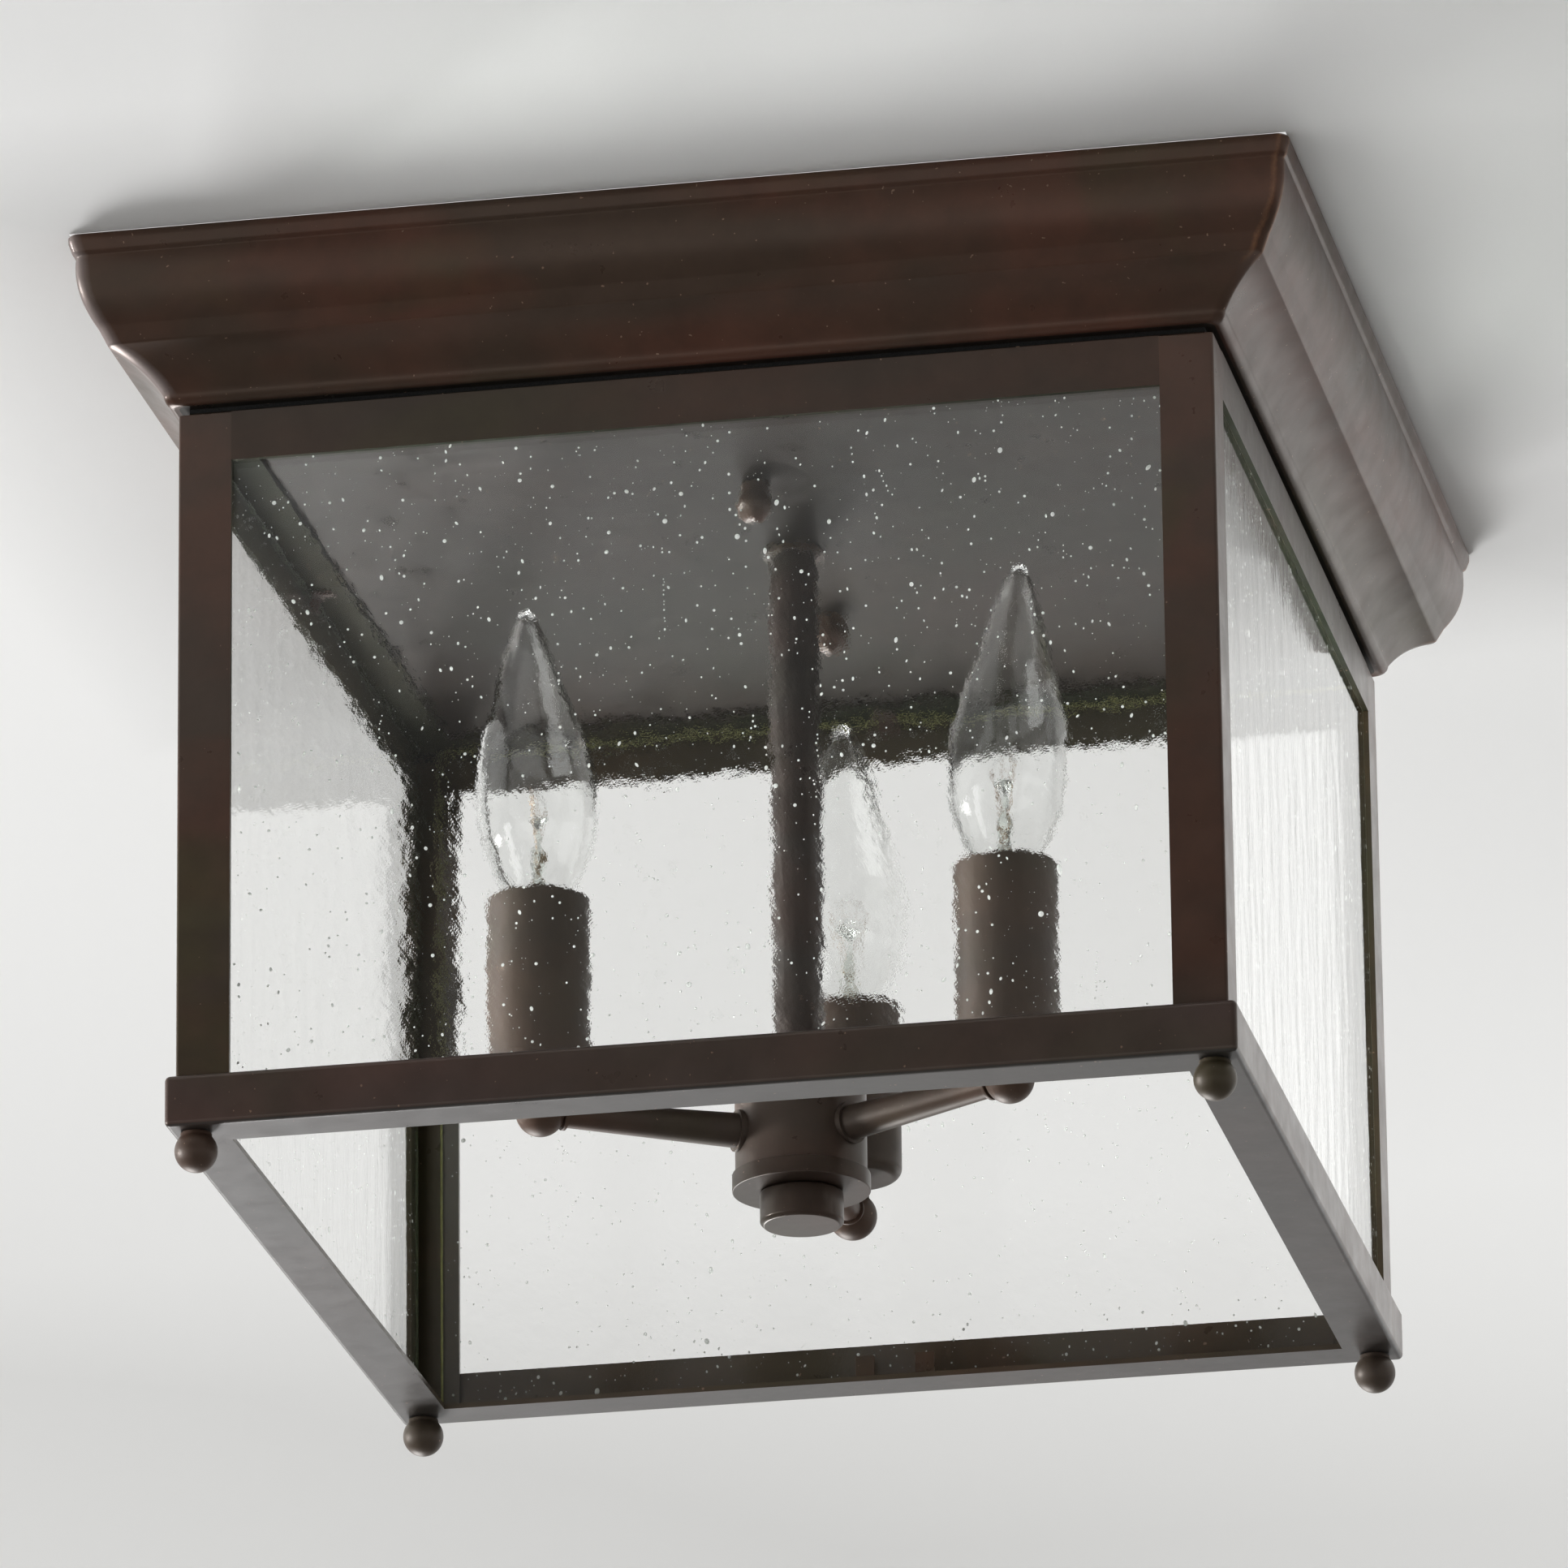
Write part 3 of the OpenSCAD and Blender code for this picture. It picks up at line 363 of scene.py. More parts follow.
def clean_copy(node):
    """The node's mesh as a new bmesh, welded, with its flat faces whole."""
    src = NODES[node].data
    bm = bmesh.new()
    verts = [bm.verts.new(v.co) for v in src.vertices]
    for p in src.polygons:
        try:
            bm.faces.new([verts[i] for i in p.vertices])
        except ValueError:
            pass
    bmesh.ops.remove_doubles(bm, verts=bm.verts, dist=2e-6)
    bmesh.ops.dissolve_limit(bm, angle_limit=math.radians(0.3), verts=bm.verts, edges=bm.edges)
    bmesh.ops.recalc_face_normals(bm, faces=bm.faces)
    return bm


def even_normals(piece):
    """Keeps flat faces flat where they meet a small round."""
    mod = piece.modifiers.new("even", "WEIGHTED_NORMAL")
    mod.keep_sharp = True
    mod.weight = 100
    old, name = piece.data, piece.data.name
    piece.data = bpy.data.meshes.new_from_object(piece.evaluated_get(bpy.context.evaluated_depsgraph_get()))
    piece.modifiers.clear()
    bpy.data.meshes.remove(old)
    piece.data.name = name


# Where the rails butt against the posts, and how far out the cage's inner faces reach
POST_EDGE, INNER_REACH = 0.1255, 0.1355


def soften(node, width=0.0004, mats=None, corner=0.0):
    """Stands for a CAD node with its edges broken by a small round, which takes the last material.

    A part of the cage has a larger round at its outer upright corners. Its inner faces and its underside have
    materials of their own, and the closed butt joints beside the posts stay sharp.
    """
    slot = SLOT_OF[node]
    mats = mats or ([slot, "bronze_worn"] if slot == "bronze" else [slot])
    if corner:
        inside = ["bronze_rail_low", "bronze_under"] if node == "bottom_frame" else ["bronze_inner", "rail_underside_dark"]
        mats = inside + mats
    last = len(mats) - 1
    bm = clean_copy(node)

    def sharp(e):
        return e.is_manifold and e.calc_face_angle(0) > math.radians(30)

    def butted(e):
        return any(all(abs(abs(v.co[k]) - POST_EDGE) < 2e-4 for v in e.verts) for k in (0, 1))

    def rounded(edges, size, steps, material):
        bmesh.ops.bevel(bm, geom=edges, offset=size, offset_type="OFFSET", segments=steps, profile=0.5,
                        affect="EDGES", clamp_overlap=True, material=material, miter_outer="ARC")

    if corner:
        reach = max(abs(v.co.x) for v in bm.verts)
        rounded([e for e in bm.edges if sharp(e) and all(abs(abs(v.co[k]) - reach) < 1e-4
                                                         for v in e.verts for k in (0, 1))], corner, 5, -1)
    rounded([e for e in bm.edges if sharp(e) and not (corner and butted(e))], width, 2, last)
    if corner:
        for f in bm.faces:
            if f.material_index == last:
                continue
            mid = f.calc_center_median()
            inward = (f.normal.x * mid.x + f.normal.y * mid.y < -0.45 * math.hypot(mid.x, mid.y)
                      or max(abs(mid.x), abs(mid.y)) < INNER_REACH)
            f.material_index = 1 if f.normal.z < -0.5 else 0 if inward and f.normal.z < 0.5 else 2
    piece = new_piece(node + "_finished", BODY_OF[node], mats, bm)
    even_normals(piece)
    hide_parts(node)


def lathe(bm, profile, x, y, steps, warp=None):
    """Turns (radius, z) points about the upright line through x, y. A zero radius makes a pole."""
    rings = []
    for r, z in profile:
        if r <= 1e-9:
            rings.append([bm.verts.new((x, y, z))])
            continue
        ring = []
        for i in range(steps):
            a = 2 * math.pi * i / steps
            k = warp(a, z) if warp else 1.0
            ring.append(bm.verts.new((x + r * k * math.cos(a), y + r * k * math.sin(a), z)))
        rings.append(ring)
    for a, b in zip(rings, rings[1:]):
        for i in range(steps):
            j = (i + 1) % steps
            if len(a) == 1:
                bm.faces.new((a[0], b[i], b[j]))
            elif len(b) == 1:
                bm.faces.new((a[i], b[0], a[j]))
            else:
                bm.faces.new((a[i], b[i], b[j], a[j]))


def tube(bm, points, radius, sides):
    """A round bar through points, closed at both ends."""
    pts = [Vector(p) for p in points]
    rings = []
    up = Vector((0.123, 0.456, 0.882)).normalized()
    for i, p in enumerate(pts):
        d = (pts[min(i + 1, len(pts) - 1)] - pts[max(i - 1, 0)]).normalized()
        side = d.cross(up).normalized()
        other = side.cross(d).normalized()
        rings.append([bm.verts.new(p + (side * math.cos(t) + other * math.sin(t)) * radius)
                      for t in (2 * math.pi * k / sides for k in range(sides))])
    for a, b in zip(rings, rings[1:]):
        bridge(bm, a, b)
    bm.faces.new(list(reversed(rings[0])))
    bm.faces.new(rings[-1])


def bridge(bm, a, b):
    """Faces between two closed loops of as many points."""
    for i in range(len(a)):
        j = (i + 1) % len(a)
        bm.faces.new((a[i], a[j], b[j], b[i]))


def smooth_curve(knots, x):
    """A smooth rise through sorted (x, y) knots without overshoot."""
    befores, afters = [knots[0]] + knots, knots[2:] + [knots[-1]]
    for (x0, y0), (x1, y1), before, after in zip(knots, knots[1:], befores, afters):
        if x <= x1 or (x1, y1) == knots[-1]:
            h = x1 - x0
            d = (y1 - y0) / h
            d0 = (y0 - before[1]) / (x0 - before[0]) if before[0] != x0 else d
            d1 = (after[1] - y1) / (after[0] - x1) if after[0] != x1 else d
            m0 = 0.0 if d0 * d <= 0 else 2 * d0 * d / (d0 + d)
            m1 = 0.0 if d1 * d <= 0 else 2 * d1 * d / (d1 + d)
            t = min(max((x - x0) / h, 0.0), 1.0)
            return ((2 * t**3 - 3 * t**2 + 1) * y0 + (t**3 - 2 * t**2 + t) * h * m0
                    + (-2 * t**3 + 3 * t**2) * y1 + (t**3 - t**2) * h * m1)


# ------------------------------------------------------------------ metalwork

# Half widths and heights of the canopy, as in the source, but for a softer roll at its foot
LIP, LIP_H, LIP_STEP = 0.165, 0.0056, 0.0018
FOOT, FOOT_Z, FOOT_ROUND = 0.1438, -0.0422, 0.0026
FOOT_TOP = (FOOT, FOOT_Z + FOOT_ROUND)
OVOLO_TOP = (LIP - LIP_STEP, -LIP_H)
CREASE = Vector((LIP - (LIP - FOOT) * 0.425, -0.0288))
NOSING = CREASE + Vector((0.0022, 0.0046))
SHEET = 0.0012
# How far the ovolo swells and the cove is hollowed, how far out the underside reaches, and where its flat begins
OVOLO_SWELL, COVE_SWELL = 0.0018, -0.0013
SEAT = 0.1403
FLAT = FOOT - 0.006
# Holes in the canopy's floor: x, y and radius
CANOPY_HOLES = [(0.0, 0.0, 0.0053), (0.0, 0.054, 0.0023), (0.0, -0.054, 0.0023)]


def bowed(a, b, swell, steps=14):
    """Points from a to b on a shallow bow."""
    a, b = Vector(a), Vector(b)
    d = b - a
    out = Vector((-d.y, d.x)).normalized()
    return [a + d * (i / steps) + out * swell * 4 * (i / steps) * (1 - i / steps) for i in range(steps + 1)]


def eased(points, corners, steps=4):
    """The same line with the named corners rounded: corners gives index to cut-back."""
    out = []
    for i, q in enumerate(points):
        if i in corners:
            a = q + (points[i - 1] - q).normalized() * corners[i]
            b = q + (points[i + 1] - q).normalized() * corners[i]
            for k in range(steps + 1):
                t = k / steps
                out.append(a * (1 - t) ** 2 + q * 2 * t * (1 - t) + b * t ** 2)
        else:
            out.append(q)
    return out


def square_loop(bm, half, z, corner, steps=6):
    """The points of a square with round corners."""
    loop = []
    for quarter, (sx, sy) in enumerate(((1, 1), (-1, 1), (-1, -1), (1, -1))):
        for k in range(steps + 1):
            a = math.radians(90 * quarter + 90 * k / steps)
            loop.append(bm.verts.new((sx * (half - corner) + corner * math.cos(a),
                                      sy * (half - corner) + corner * math.sin(a), z)))
    return loop


def circle_loop(bm, x, y, z, r, steps=32):
    return [bm.verts.new((x + r * math.cos(2 * math.pi * i / steps), y + r * math.sin(2 * math.pi * i / steps), z))
            for i in range(steps)]


def loop_edges(bm, loop):
    return [bm.edges.get(pair) or bm.edges.new(pair) for pair in zip(loop, loop[1:] + loop[:1])]


def canopy_outside():
    """The outer line of the mouldings as (half width, height), from the ceiling to the underside."""
    lip = [Vector((LIP - 0.0004, 0.0)), Vector((LIP, -0.0006)), Vector((LIP - 0.0001, -0.0022)),
           Vector((LIP - 0.0010, -LIP_H + 0.0006))]
    ovolo = bowed(OVOLO_TOP, NOSING, OVOLO_SWELL)
    crease = len(lip) + len(ovolo)
    line = eased(lip + ovolo + bowed(CREASE, FOOT_TOP, COVE_SWELL),
                 {3: 0.0006, 4: 0.0004, crease - 1: 0.00045, crease: 0.0005})
    for degrees in (15, 30, 45, 60, 75, 90):
        a = math.radians(degrees)
        line.append(Vector((FOOT - FOOT_ROUND * (1 - math.cos(a)),
                            FOOT_Z - 0.0003 + FOOT_ROUND * (1.2 - 1.2 * math.sin(a)))))
    return line + [Vector((SEAT, FOOT_Z))]


def canopy_inside():
    """The inner line, a sheet's thickness in."""
    return ([Vector((LIP - SHEET, 0.0)), Vector((LIP - SHEET, -LIP_H + SHEET))]
            + [q + Vector((-SHEET * 1.05, SHEET * 0.55)) for q in bowed(OVOLO_TOP, NOSING, OVOLO_SWELL)]
            + [q + Vector((-SHEET * 0.85, SHEET * 0.85)) for q in bowed(CREASE, FOOT_TOP, COVE_SWELL)[:-2]]
            + [Vector((FOOT - FOOT_ROUND, FOOT_Z + SHEET))])


def moulded_canopy():
    """The canopy as one pressed sheet, with soft mitres, a nosing between its mouldings and a rolled foot."""
    bm = bmesh.new()
    outer = [square_loop(bm, q.x, q.y, 0.0028) for q in canopy_outside()]
    under = square_loop(bm, FLAT, FOOT_Z, 0.001)
    inner = [square_loop(bm, q.x, min(q.y, 0.0), 0.0018) for q in canopy_inside()]
    over = square_loop(bm, FLAT, FOOT_Z + SHEET, 0.001)
    for a, b in zip(outer, outer[1:]):
        bridge(bm, b, a)
    for f in bm.faces:
        f.material_index = 1
    bridge(bm, under, outer[-1])
    bridge(bm, outer[0], inner[0])
    for a, b in zip(inner, inner[1:]):
        bridge(bm, a, b)
    bridge(bm, inner[-1], over)
    floors = []
    for z, rim, facing in ((FOOT_Z, under, -1), (FOOT_Z + SHEET, over, 1)):
        rings = [circle_loop(bm, x, y, z, r) for x, y, r in CANOPY_HOLES]
        edges = [e for loop in [rim] + rings for e in loop_edges(bm, loop)]
        bmesh.ops.triangle_fill(bm, edges=edges, use_beauty=True, normal=(0, 0, facing))
        floors.append(rings)
    for a, b in zip(*floors):
        bridge(bm, a, b)
    bmesh.ops.recalc_face_normals(bm, faces=bm.faces)
    for f in bm.faces:
        if f.material_index == 0 and f.normal.z < -0.9 and f.calc_center_median().z < FOOT_Z + 0.0005:
            f.material_index = 2
    piece = new_piece("canopy_shell", "lantern", ["bronze", "canopy_bronze", "plate_bronze"], bm, smooth=40)
    even_normals(piece)
    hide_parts("canopy")


moulded_canopy()
# the top rail's darker enamel is painted shade under the canopy
soften("top_frame", mats=["bronze_dim", "bronze_worn"], corner=0.0009)
for name in ("post_front_left", "post_front_right", "post_back_right", "post_back_left"):
    soften(name, corner=0.0009)
soften("bottom_frame", 0.0005, mats=["bronze_low", "bronze_worn"], corner=0.0020)
for name in ("corner_lugs", "stem_collar", "hub", "cap_nut_front", "cap_nut_back"):
    soften(name, 0.0003, mats=["bronze"])
soften("stem", 0.0003, mats=["stem_bronze"])
for name in ("hub_cover", "hub_knob"):
    soften(name, 0.0003, mats=["bronze_dim"])
for name in ("finial_front_left", "finial_front_right", "finial_back_right", "finial_back_left"):
    soften(name, 0.0003, mats=["bronze_satin"])
for lamp in LAMPS:
    soften("arm_" + lamp, 0.0003, mats=["bronze_satin"])
    soften("knuckle_" + lamp, 0.0003, mats=["bronze_satin"])
    soften("sleeve_" + lamp, 0.00025)
for name in ("glass_clips", "upper_clips"):
    soften(name, 0.00015)
for name, slot in SLOT_OF.items():
    NODES[name].data.materials.clear()
    NODES[name].data.materials.append(MATS[slot])

# ------------------------------------------------------------------ panes and the seeds in them

# Each pane's turn about the upright, its outer face, thickness and half width
PANES = {"front": 0, "right": 90, "back": 180, "left": 270}
PANE_OUT, PANE_T, PANE_HALF = 0.1385, 0.003, 0.1305
# How much smaller a pane is than its CAD solid, so that no face lies in the frame's own planes
PANE_EASE = 0.00016


def pane(side, turn):
    """One sheet of glass with broken arrises: outer face, inner face and cut edges in their own materials."""
    node = "pane_" + side
    out = Matrix.Rotation(math.radians(turn), 3, "Z") @ Vector((0, -1, 0))
    bm = clean_copy(node)
    lo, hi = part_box(node)
    middle, size = (Vector(lo) + Vector(hi)) / 2, Vector(hi) - Vector(lo)
    for v in bm.verts:
        for k in range(3):
            v.co[k] = middle[k] + (v.co[k] - middle[k]) * (1 - PANE_EASE / size[k])
    bmesh.ops.bevel(bm, geom=list(bm.edges), offset=0.0003, offset_type="OFFSET", segments=1, profile=0.5,
                    affect="EDGES", clamp_overlap=True)
    for f in bm.faces:
        d = f.normal.dot(out)
        f.material_index = 0 if d > 0.95 else 1 if d < -0.95 else 2
    # the back pane's edges are lighter: painted light
    edge = "pane_edge_far_painted_light" if side == "back" else "pane_edge"
    piece = new_piece("sheet_" + side, "lantern", ["pane_out_" + side, "pane_in_" + side, edge], bm,
                      smooth=20)
    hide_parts(node)


def unit_ball(level):
    """A ball of radius 1 as its points and its faces."""
    ball = bmesh.new()
    bmesh.ops.create_icosphere(ball, subdivisions=level, radius=1.0)
    ball.verts.index_update()
    shape = [v.co.copy() for v in ball.verts], [[v.index for v in f.verts] for f in ball.faces]
    ball.free()
    return shape


FINE_BALL, COARSE_BALL = unit_ball(2), unit_ball(1)


def seeds(side, turn, count, dust):
    """Small air bubbles, finer ones between them and short strings, held inside one pane."""
    rnd = random.Random(1000 + turn)
    lo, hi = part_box("pane_" + side)
    place = Matrix.Rotation(math.radians(turn), 4, "Z")
    bm = bmesh.new()
    taken = {}

    def bubble(x, z, r, stretch=1.0, lean=0.0):
        points, faces = FINE_BALL if r > 0.00016 else COARSE_BALL
        depth = -PANE_OUT + 0.00035 + r + rnd.random() * (PANE_T - 0.0007 - 2 * r)
        grown = []
        for c in points:
            px, pz = c.x * r, c.z * r * stretch
            qx = px * math.cos(lean) + pz * math.sin(lean)
            qz = -px * math.sin(lean) + pz * math.cos(lean)
            grown.append(bm.verts.new(place @ Vector((x + qx, depth + c.y * r * 0.85, z + qz))))
        for f in faces:
            bm.faces.new([grown[i] for i in f])

    def free(x, z, r):
        """True, and the place is taken, where no other bubble is near. Bubbles are kept by 3 mm squares."""
        cx, cz = int(x // 0.003), int(z // 0.003)
        for i in (cx - 1, cx, cx + 1):
            for j in (cz - 1, cz, cz + 1):
                if any((x - a) ** 2 + (z - b) ** 2 < (r + c + 0.0002) ** 2 for a, b, c in taken.get((i, j), ())):
                    return False
        taken.setdefault((cx, cz), []).append((x, z, r))
        return True

    def somewhere(aside=0.002, above=0.002):
        return rnd.uniform(-PANE_HALF + aside, PANE_HALF - aside), rnd.uniform(lo.z + above, hi.z - above)

    while count > 0:
        x, z = somewhere()
        r = min(0.00026 * math.exp(rnd.gauss(0, 0.38)), 0.0008)
        stretch = 1.0 + max(0.0, rnd.gauss(0.1, 0.4))
        if free(x, z, r * stretch):
            bubble(x, z, r, min(stretch, 2.2), rnd.gauss(0, 0.35))
            count -= 1
    for _ in range(9):
        x, z = somewhere(0.01, 0.02)
        drift = rnd.gauss(0, 0.25)
        for i in range(rnd.randint(4, 11)):
            r = rnd.uniform(0.00016, 0.00030)
            px, pz = x + drift * i * 0.0013 + rnd.gauss(0, 0.00012), z - i * rnd.uniform(0.0011, 0.0016)
            if pz > lo.z + 0.003 and free(px, pz, r):
                bubble(px, pz, r, rnd.uniform(1.0, 1.5))
    while dust > 0:
        x, z = somewhere()
        r = rnd.uniform(0.00007, 0.00014)
        if free(x, z, r):
            bubble(x, z, r)
            dust -= 1
    new_piece("seeds_" + side, "lantern", ["bubble"], bm)


for side, turn in PANES.items():
    pane(side, turn)
    seeds(side, turn, *(((1400, 1500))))

# ------------------------------------------------------------------ bulbs

BULB_TOP, BULB_BOTTOM, BULB_SKIN = -0.070, -0.1555, 0.0009
# Drop from the tip and radius
BULB = [(0.0, 0.0), (0.0003, 0.0012), (0.0010, 0.0019), (0.0030, 0.0029), (0.0070, 0.0047), (0.0170, 0.0080),
        (0.0270, 0.0107), (0.0375, 0.0140), (0.0475, 0.0157), (0.0565, 0.0162), (0.0625, 0.0158),
        (0.0678, 0.0148), (0.0737, 0.0128), (0.0800, 0.0100), (0.0828, 0.0084), (0.0855, 0.0056)]
BULB_NECK = BULB[-1][1]
# Below the tip: where the lean fades out, and the height of the mount's button
LEAN_REACH, BUTTON_DROP = 0.078, 0.058
# Sets one bulb's flutes apart from another's
FLUTE_SEED = {"left": 1.0, "right": 2.7, "back": 4.1}


def bulb_envelope(lamp):
    """Thin fluted glass, open at its neck, closed inside over the mount's foot, leaning as in the photograph."""
    x, y = lamp_xy(lamp)
    seed = FLUTE_SEED[lamp]

    def flutes(a, z):
        """Nine soft flutes that wander and fade towards both ends."""
        d = BULB_TOP - z
        fade = min(1.0, d / 0.010) * min(1.0, max(0.0, 0.080 - d) / 0.020)
        wander = 0.5 * math.sin(d * 130 + seed) + 0.25 * math.sin(d * 310 + 2 * seed)
        return 1 + fade * (0.014 * math.sin(9 * a + wander) + 0.008 * math.sin(4 * a - 1.7 * wander + seed)
                           + 0.005 * math.sin(d * 520 + 2 * a + seed))

    drops = [0, 0.0003, 0.0007, 0.0012, 0.002, 0.003, 0.0045] + [0.006 + 0.0017 * i for i in range(48)]
    outside = [(smooth_curve(BULB, d), BULB_TOP - d) for d in drops if BULB_TOP - d > BULB_BOTTOM + 0.0002]
    outside.append((BULB_NECK, BULB_BOTTOM))
    inside = []
    for (r, z), (r2, z2) in zip(outside[4:], outside[5:] + [(BULB_NECK, BULB_BOTTOM - 0.0001)]):
        t = Vector((r2 - r, z2 - z)).normalized()
        inside.append((max(r + t.y * BULB_SKIN, 0.0004), z - t.x * BULB_SKIN))
    inside[-1] = (0.0049, BULB_BOTTOM)
    bm = bmesh.new()
    lathe(bm, outside + list(reversed(inside)) + [(0.0, inside[0][1] + 0.0004)], x, y, 96, warp=flutes)
    for v in bm.verts:
        v.co += Vector(LEAN[lamp]) * max(0.0, 1.0 - (BULB_TOP - v.co.z) / LEAN_REACH) ** 1.4
    bmesh.ops.recalc_face_normals(bm, faces=bm.faces)
    piece = new_piece("bulb_envelope_" + lamp, "bulb_" + lamp, ["bulb_glass"], bm, smooth=60)
    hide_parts("bulb_glass_" + lamp)


def bulb_mount(lamp):
    """Flared glass stem with its pinch and button, two lead wires, two supports, and a looped filament."""
    x, y = lamp_xy(lamp)
    top, foot = BULB_TOP - BUTTON_DROP, BULB_BOTTOM
    facing = math.radians(LAMPS[lamp] * 2 + 20)
    ux, uy = math.cos(facing), math.sin(facing)

    def at(u, v, z):
        """A point u along the filament and v across it."""
        return (x + ux * u - uy * v, y + uy * u + ux * v, z)

    bm = bmesh.new()
    lathe(bm, [(0.0, foot), (0.0044, foot), (0.0036, foot + 0.0025), (0.0022, foot + 0.006), (0.0016, foot + 0.009),
               (0.0021, top - 0.0125), (0.0009, top - 0.0100), (0.0007, top - 0.0040), (0.0009, top - 0.0032),
               (0.0022, top - 0.0028), (0.0025, top - 0.0022), (0.0018, top - 0.0015), (0.0, top - 0.0013)], x, y, 32)
    bmesh.ops.recalc_face_normals(bm, faces=bm.faces)
    new_piece("bulb_stem_" + lamp, "bulb_" + lamp, ["mount_glass"], bm)

    bm = bmesh.new()
    for s in (-1, 1):
        twist = [at(0.0011 * math.cos(i * 0.9 + (s > 0) * math.pi), 0.0011 * math.sin(i * 0.9 + (s > 0) * math.pi),
                    foot + 0.001 + 0.0011 * i) for i in range(8)]
        lead = [(0.0013, -0.0140), (0.0019, -0.0090), (0.0034, -0.0030), (0.0046, 0.0016), (0.0048, 0.0030)]
        support = [(0.0014, 0.0003, -0.0022), (0.0017, 0.0011, 0.0030), (0.0020, 0.0012, 0.0066)]
        tube(bm, twist + [at(s * u, 0, top + z) for u, z in lead], 0.00020, 8)
        tube(bm, [at(s * u, v, top + z) for u, v, z in support], 0.00011, 6)
    wires = new_piece("bulb_supports_" + lamp, "bulb_" + lamp, ["bulb_wires"], bm)
    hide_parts("bulb_mount_" + lamp)

    # the filament: a fine coil on an arch between the lead wires' tips
    coil, steps = 0.00016, 240
    path = []
    for i in range(steps + 1):
        across = abs(2 * i / steps - 1)
        path.append(at(-0.0048 + 0.0096 * i / steps + coil * math.cos(i * 0.9),
                       0.0012 * (1 - across) + coil * math.sin(i * 0.9),
                       top + 0.0030 + 0.0036 * (1 - across ** 1.6)))
    bm = bmesh.new()
    tube(bm, path, 0.00006, 5)
    new_piece("bulb_filament_" + lamp, "bulb_" + lamp, ["filament"], bm)


for lamp in LAMPS:
    bulb_envelope(lamp)
    bulb_mount(lamp)

# ------------------------------------------------------------------ stage

# The hole in the ceiling inside the canopy's lip, the ceiling's reach and height, and the floor's
HOLE, CEILING_REACH, CEILING_Z = 0.1644, 9.0, 0.0002
FLOOR_REACH, FLOOR_Z = 12.0, -4.2
# What the soft boxes point at
AIM = Vector((0, 0, -0.12))


def flat_stage(name, mat, corners, faces):
    """A flat stage piece that faces down if it is above the lantern, and up if it is below."""
    mesh = bpy.data.meshes.new(name)
    bm = bmesh.new()
    verts = [bm.verts.new(v) for v in corners]
    for f in faces:
        bm.faces.new([verts[i] for i in f])
    bm.normal_update()
    for f in bm.faces:
        if f.normal.z * corners[0][2] > 0:
            f.normal_flip()
    bm.to_mesh(mesh)
    bm.free()
    mesh.materials.append(mat)
    ob = bpy.data.objects.new(name, mesh)
    bpy.context.scene.collection.objects.link(ob)


def square(reach, z):
    return [(sx * reach, sy * reach, z) for sx, sy in ((-1, -1), (1, -1), (1, 1), (-1, 1))]


def ceiling_paint():
    """Pale paint, darker further back as painted shade, with a soft glow of painted light where it is seen. Ahead of
    the lantern only the camera sees it pale; to other rays it is darker there, as painted shade.
    """
    m = Mat("pale_ceiling")
    place = m.place()
    x, y = place["X"], place["Y"]
    ray = m.node("ShaderNodeLightPath").outputs
    camera_ray, glossy_ray, through_ray = ray["Is Camera Ray"], ray["Is Glossy Ray"], ray["Is Transmission Ray"]
    out = m.math("MAXIMUM", m.math("ABSOLUTE", x), m.math("ABSOLUTE", y))

    pale = m.mix(m.noise(3.0, 2, 0.5), (0.82, 0.82, 0.815), (0.84, 0.84, 0.835))
    # painted shade: the paint is darker further back, where the key light is nearer
    far = m.ramp(m.math("MULTIPLY", y, 0.5, clamp=True), [(0.10, 0.0), (0.65, 1.0)])
    pale = m.mix(far, pale, (0.60, 0.60, 0.59))
    # painted shade: ahead of the lantern the paint turns dark, except to camera rays, and partly to transmission rays
    near = m.ramp(m.math("ADD", y, 1.0, clamp=True), [(0.35, 0.0), (0.68, 1.0)])
    near = m.math("MAXIMUM", near, m.math("MAXIMUM", camera_ray, m.times(through_ray, 0.35)))
    paint = m.node("ShaderNodeBsdfDiffuse", Color=m.mix(near, (0.15, 0.13, 0.115), pale))

    # painted light: the glow along Y, tilted across X, and none close to the canopy, a painted shadow where its
    # shadow lies
    down = m.ramp(m.math("MULTIPLY", m.math("ADD", y, 0.3), 0.5, clamp=True),
                  [(0.08, 0.165), (0.33, 0.20), (0.52, 0.22), (0.72, 0.09)])
    tilt = m.math("SUBTRACT", m.times(y, 0.90), 0.36)
    tilt = m.math("MAXIMUM", m.math("MINIMUM", tilt, 0.45), -0.46)
    across = m.times(m.math("MAXIMUM", m.math("MINIMUM", x, 0.5), -0.5), tilt)
    level = m.times(m.math("MAXIMUM", m.math("ADD", down, across), 0.0), m.past(out, 0.158, 11.0))
    # more painted light in reflections alone, a painted reflection for the side panes and the canopy's flank
    beyond = m.math("ADD", m.times(m.past(out, 0.17, 12.0), 1.3), 1.2)
    mirrored = m.times(m.past(y, -0.14, 5.0), 0.18, beyond)
    only_gloss = m.math("SUBTRACT", glossy_ray, through_ray, clamp=True)
    level = m.math("ADD", level, m.times(mirrored, only_gloss))
    seen = m.math("MAXIMUM", m.math("MAXIMUM", camera_ray, glossy_ray), through_ray)
    glow = m.node("ShaderNodeEmission", Color=(1.0, 1.0, 0.99), Strength=m.times(seen, level, near))

    lit = m.node("ShaderNodeAddShader")
    m.link(paint.outputs[0], lit.inputs[0])
    m.link(glow.outputs[0], lit.inputs[1])
    from_above = m.node("ShaderNodeNewGeometry").outputs["Backfacing"]
    clear = m.node("ShaderNodeBsdfTransparent")
    return m.surface(m.blend(from_above, lit.outputs[0], clear.outputs[0]))


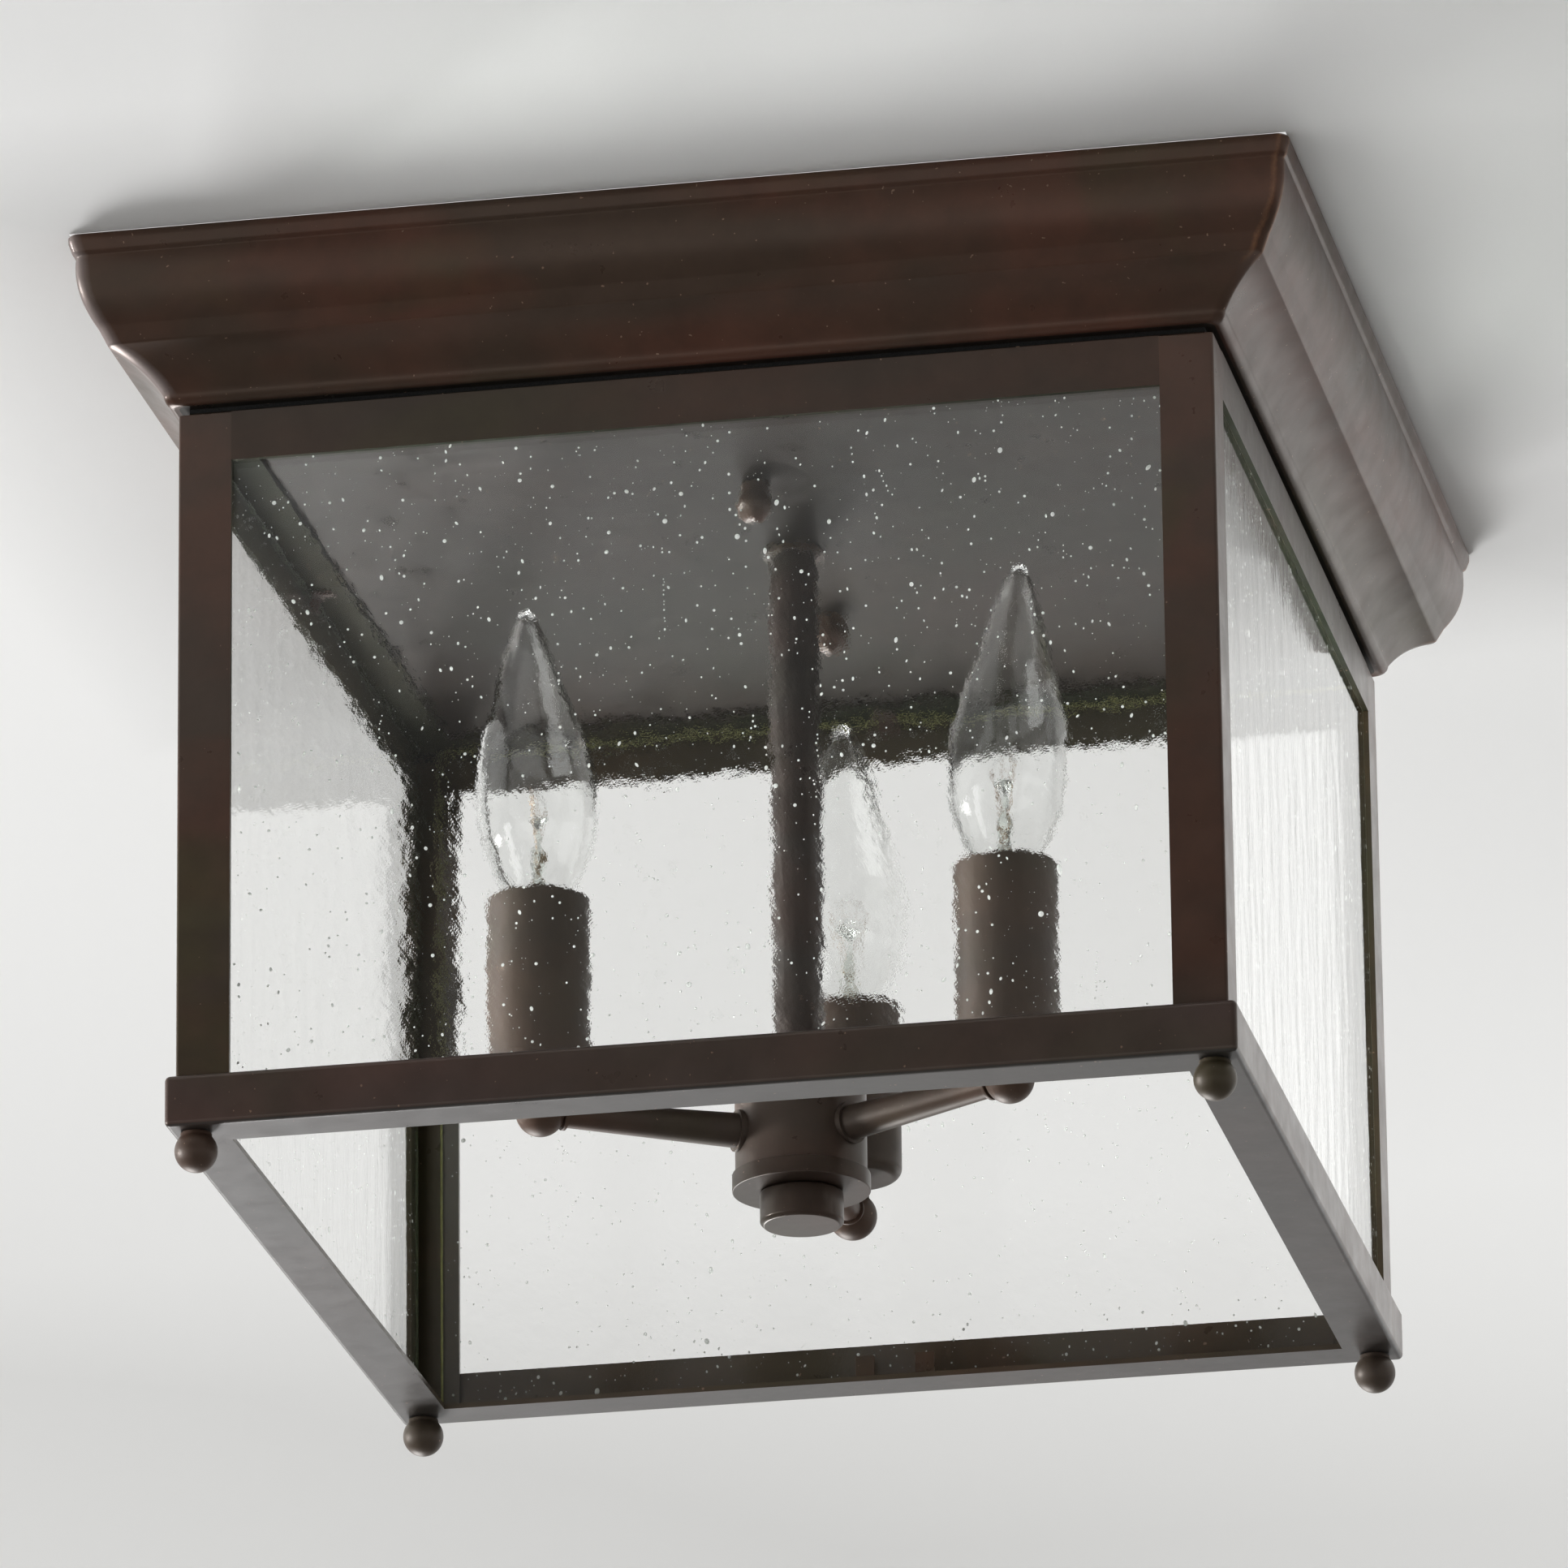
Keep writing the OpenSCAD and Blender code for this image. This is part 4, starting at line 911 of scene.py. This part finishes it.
def floor_paint():
    m = Mat("pale_floor")
    shade = m.mix(m.noise(1.5, 2, 0.5), (0.74, 0.74, 0.73), (0.78, 0.78, 0.77))
    return m.surface(m.node("ShaderNodeBsdfDiffuse", Color=shade).outputs[0])


def world():
    """Soft light all round, and a pale backdrop to camera, glossy and transmission rays."""
    w = bpy.data.worlds.new("studio")
    bpy.context.scene.world = w
    w.use_nodes = True
    t = w.node_tree
    t.nodes.clear()

    def node(kind, *inputs):
        """A node with its first inputs linked to sockets or set to values."""
        n = t.nodes.new(kind)
        for i, value in enumerate(inputs):
            if isinstance(value, bpy.types.NodeSocket):
                t.links.new(value, n.inputs[i])
            else:
                n.inputs[i].default_value = value
        return n

    ray = node("ShaderNodeLightPath").outputs
    either = node("ShaderNodeMath", ray["Is Camera Ray"], ray["Is Glossy Ray"])
    seen = node("ShaderNodeMath", either.outputs[0], ray["Is Transmission Ray"])
    either.operation = seen.operation = "MAXIMUM"
    soft = node("ShaderNodeBackground", (0.98, 0.97, 0.96, 1.0), 0.50)
    backdrop = node("ShaderNodeBackground", (0.78, 0.78, 0.77, 1.0), 1.0)
    node("ShaderNodeOutputWorld", node("ShaderNodeMixShader", seen.outputs[0], soft.outputs[0],
                                       backdrop.outputs[0]).outputs[0])


def hang(name, light, power, place, aim):
    """Puts a light in place, aimed at a point."""
    light.energy = power
    ob = bpy.data.objects.new(name, light)
    ob.location = place
    ob.rotation_euler = (Vector(aim) - Vector(place)).to_track_quat("-Z", "Y").to_euler()
    bpy.context.scene.collection.objects.link(ob)


def soft_box(name, place, size, power):
    light = bpy.data.lights.new(name, "AREA")
    light.shape = "RECTANGLE"
    light.size, light.size_y = size
    hang(name, light, power, place, AIM)


def soft_beam(name, place, aim, cone, radius, power):
    light = bpy.data.lights.new(name, "SPOT")
    light.spot_size = math.radians(cone)
    light.spot_blend = 0.35
    light.shadow_soft_size = radius
    hang(name, light, power, place, aim)


flat_stage("ceiling", ceiling_paint(), square(HOLE, CEILING_Z) + square(CEILING_REACH, CEILING_Z),
           [(i, (i + 1) % 4, (i + 1) % 4 + 4, i + 4) for i in range(4)])
flat_stage("floor", floor_paint(), square(FLOOR_REACH, FLOOR_Z), [(0, 1, 2, 3)])
world()
soft_box("key", (-1.5, 2.4, -2.1), (1.2, 1.35), 78)
soft_box("window", (-0.9, 3.6, -1.5), (3.0, 2.0), 1.5)
soft_box("fill", (-2.6, -1.8, -0.9), (1.2, 1.6), 14)
soft_beam("side", (-2.3, -0.2, -0.33), (0, 0, -0.190), 7.6, 0.22, 520)
soft_box("far_right", (2.0, 4.0, -0.9), (2.0, 1.5), 6)

# ------------------------------------------------------------------ camera: the photograph's own view

# Azimuth, elevation from below and roll, lens on a 36 mm square, and place, fitted to the photograph's corners
AZ, EL, ROLL = math.radians(10.996), math.radians(19.302), math.radians(-0.653)
LENS, SENSOR, EYE = 299.47, 36.0, (0.638641, -3.305081, -1.290922)
look = Vector((-math.sin(AZ) * math.cos(EL), math.cos(AZ) * math.cos(EL), math.sin(EL)))
right = Vector((math.cos(AZ), math.sin(AZ), 0))
up = right.cross(look)
turned_right = right * math.cos(ROLL) + up * math.sin(ROLL)
turned_up = -right * math.sin(ROLL) + up * math.cos(ROLL)
lens = bpy.data.cameras.new("camera")
lens.sensor_width = SENSOR
lens.lens = LENS
lens.clip_start = 0.05
lens.clip_end = 60.0
camera = bpy.data.objects.new("camera", lens)
camera.matrix_world = Matrix.Translation(EYE) @ Matrix((turned_right, turned_up, -look)).transposed().to_4x4()
bpy.context.scene.collection.objects.link(camera)
bpy.context.scene.camera = camera
bpy.context.scene.view_settings.view_transform = "Standard"
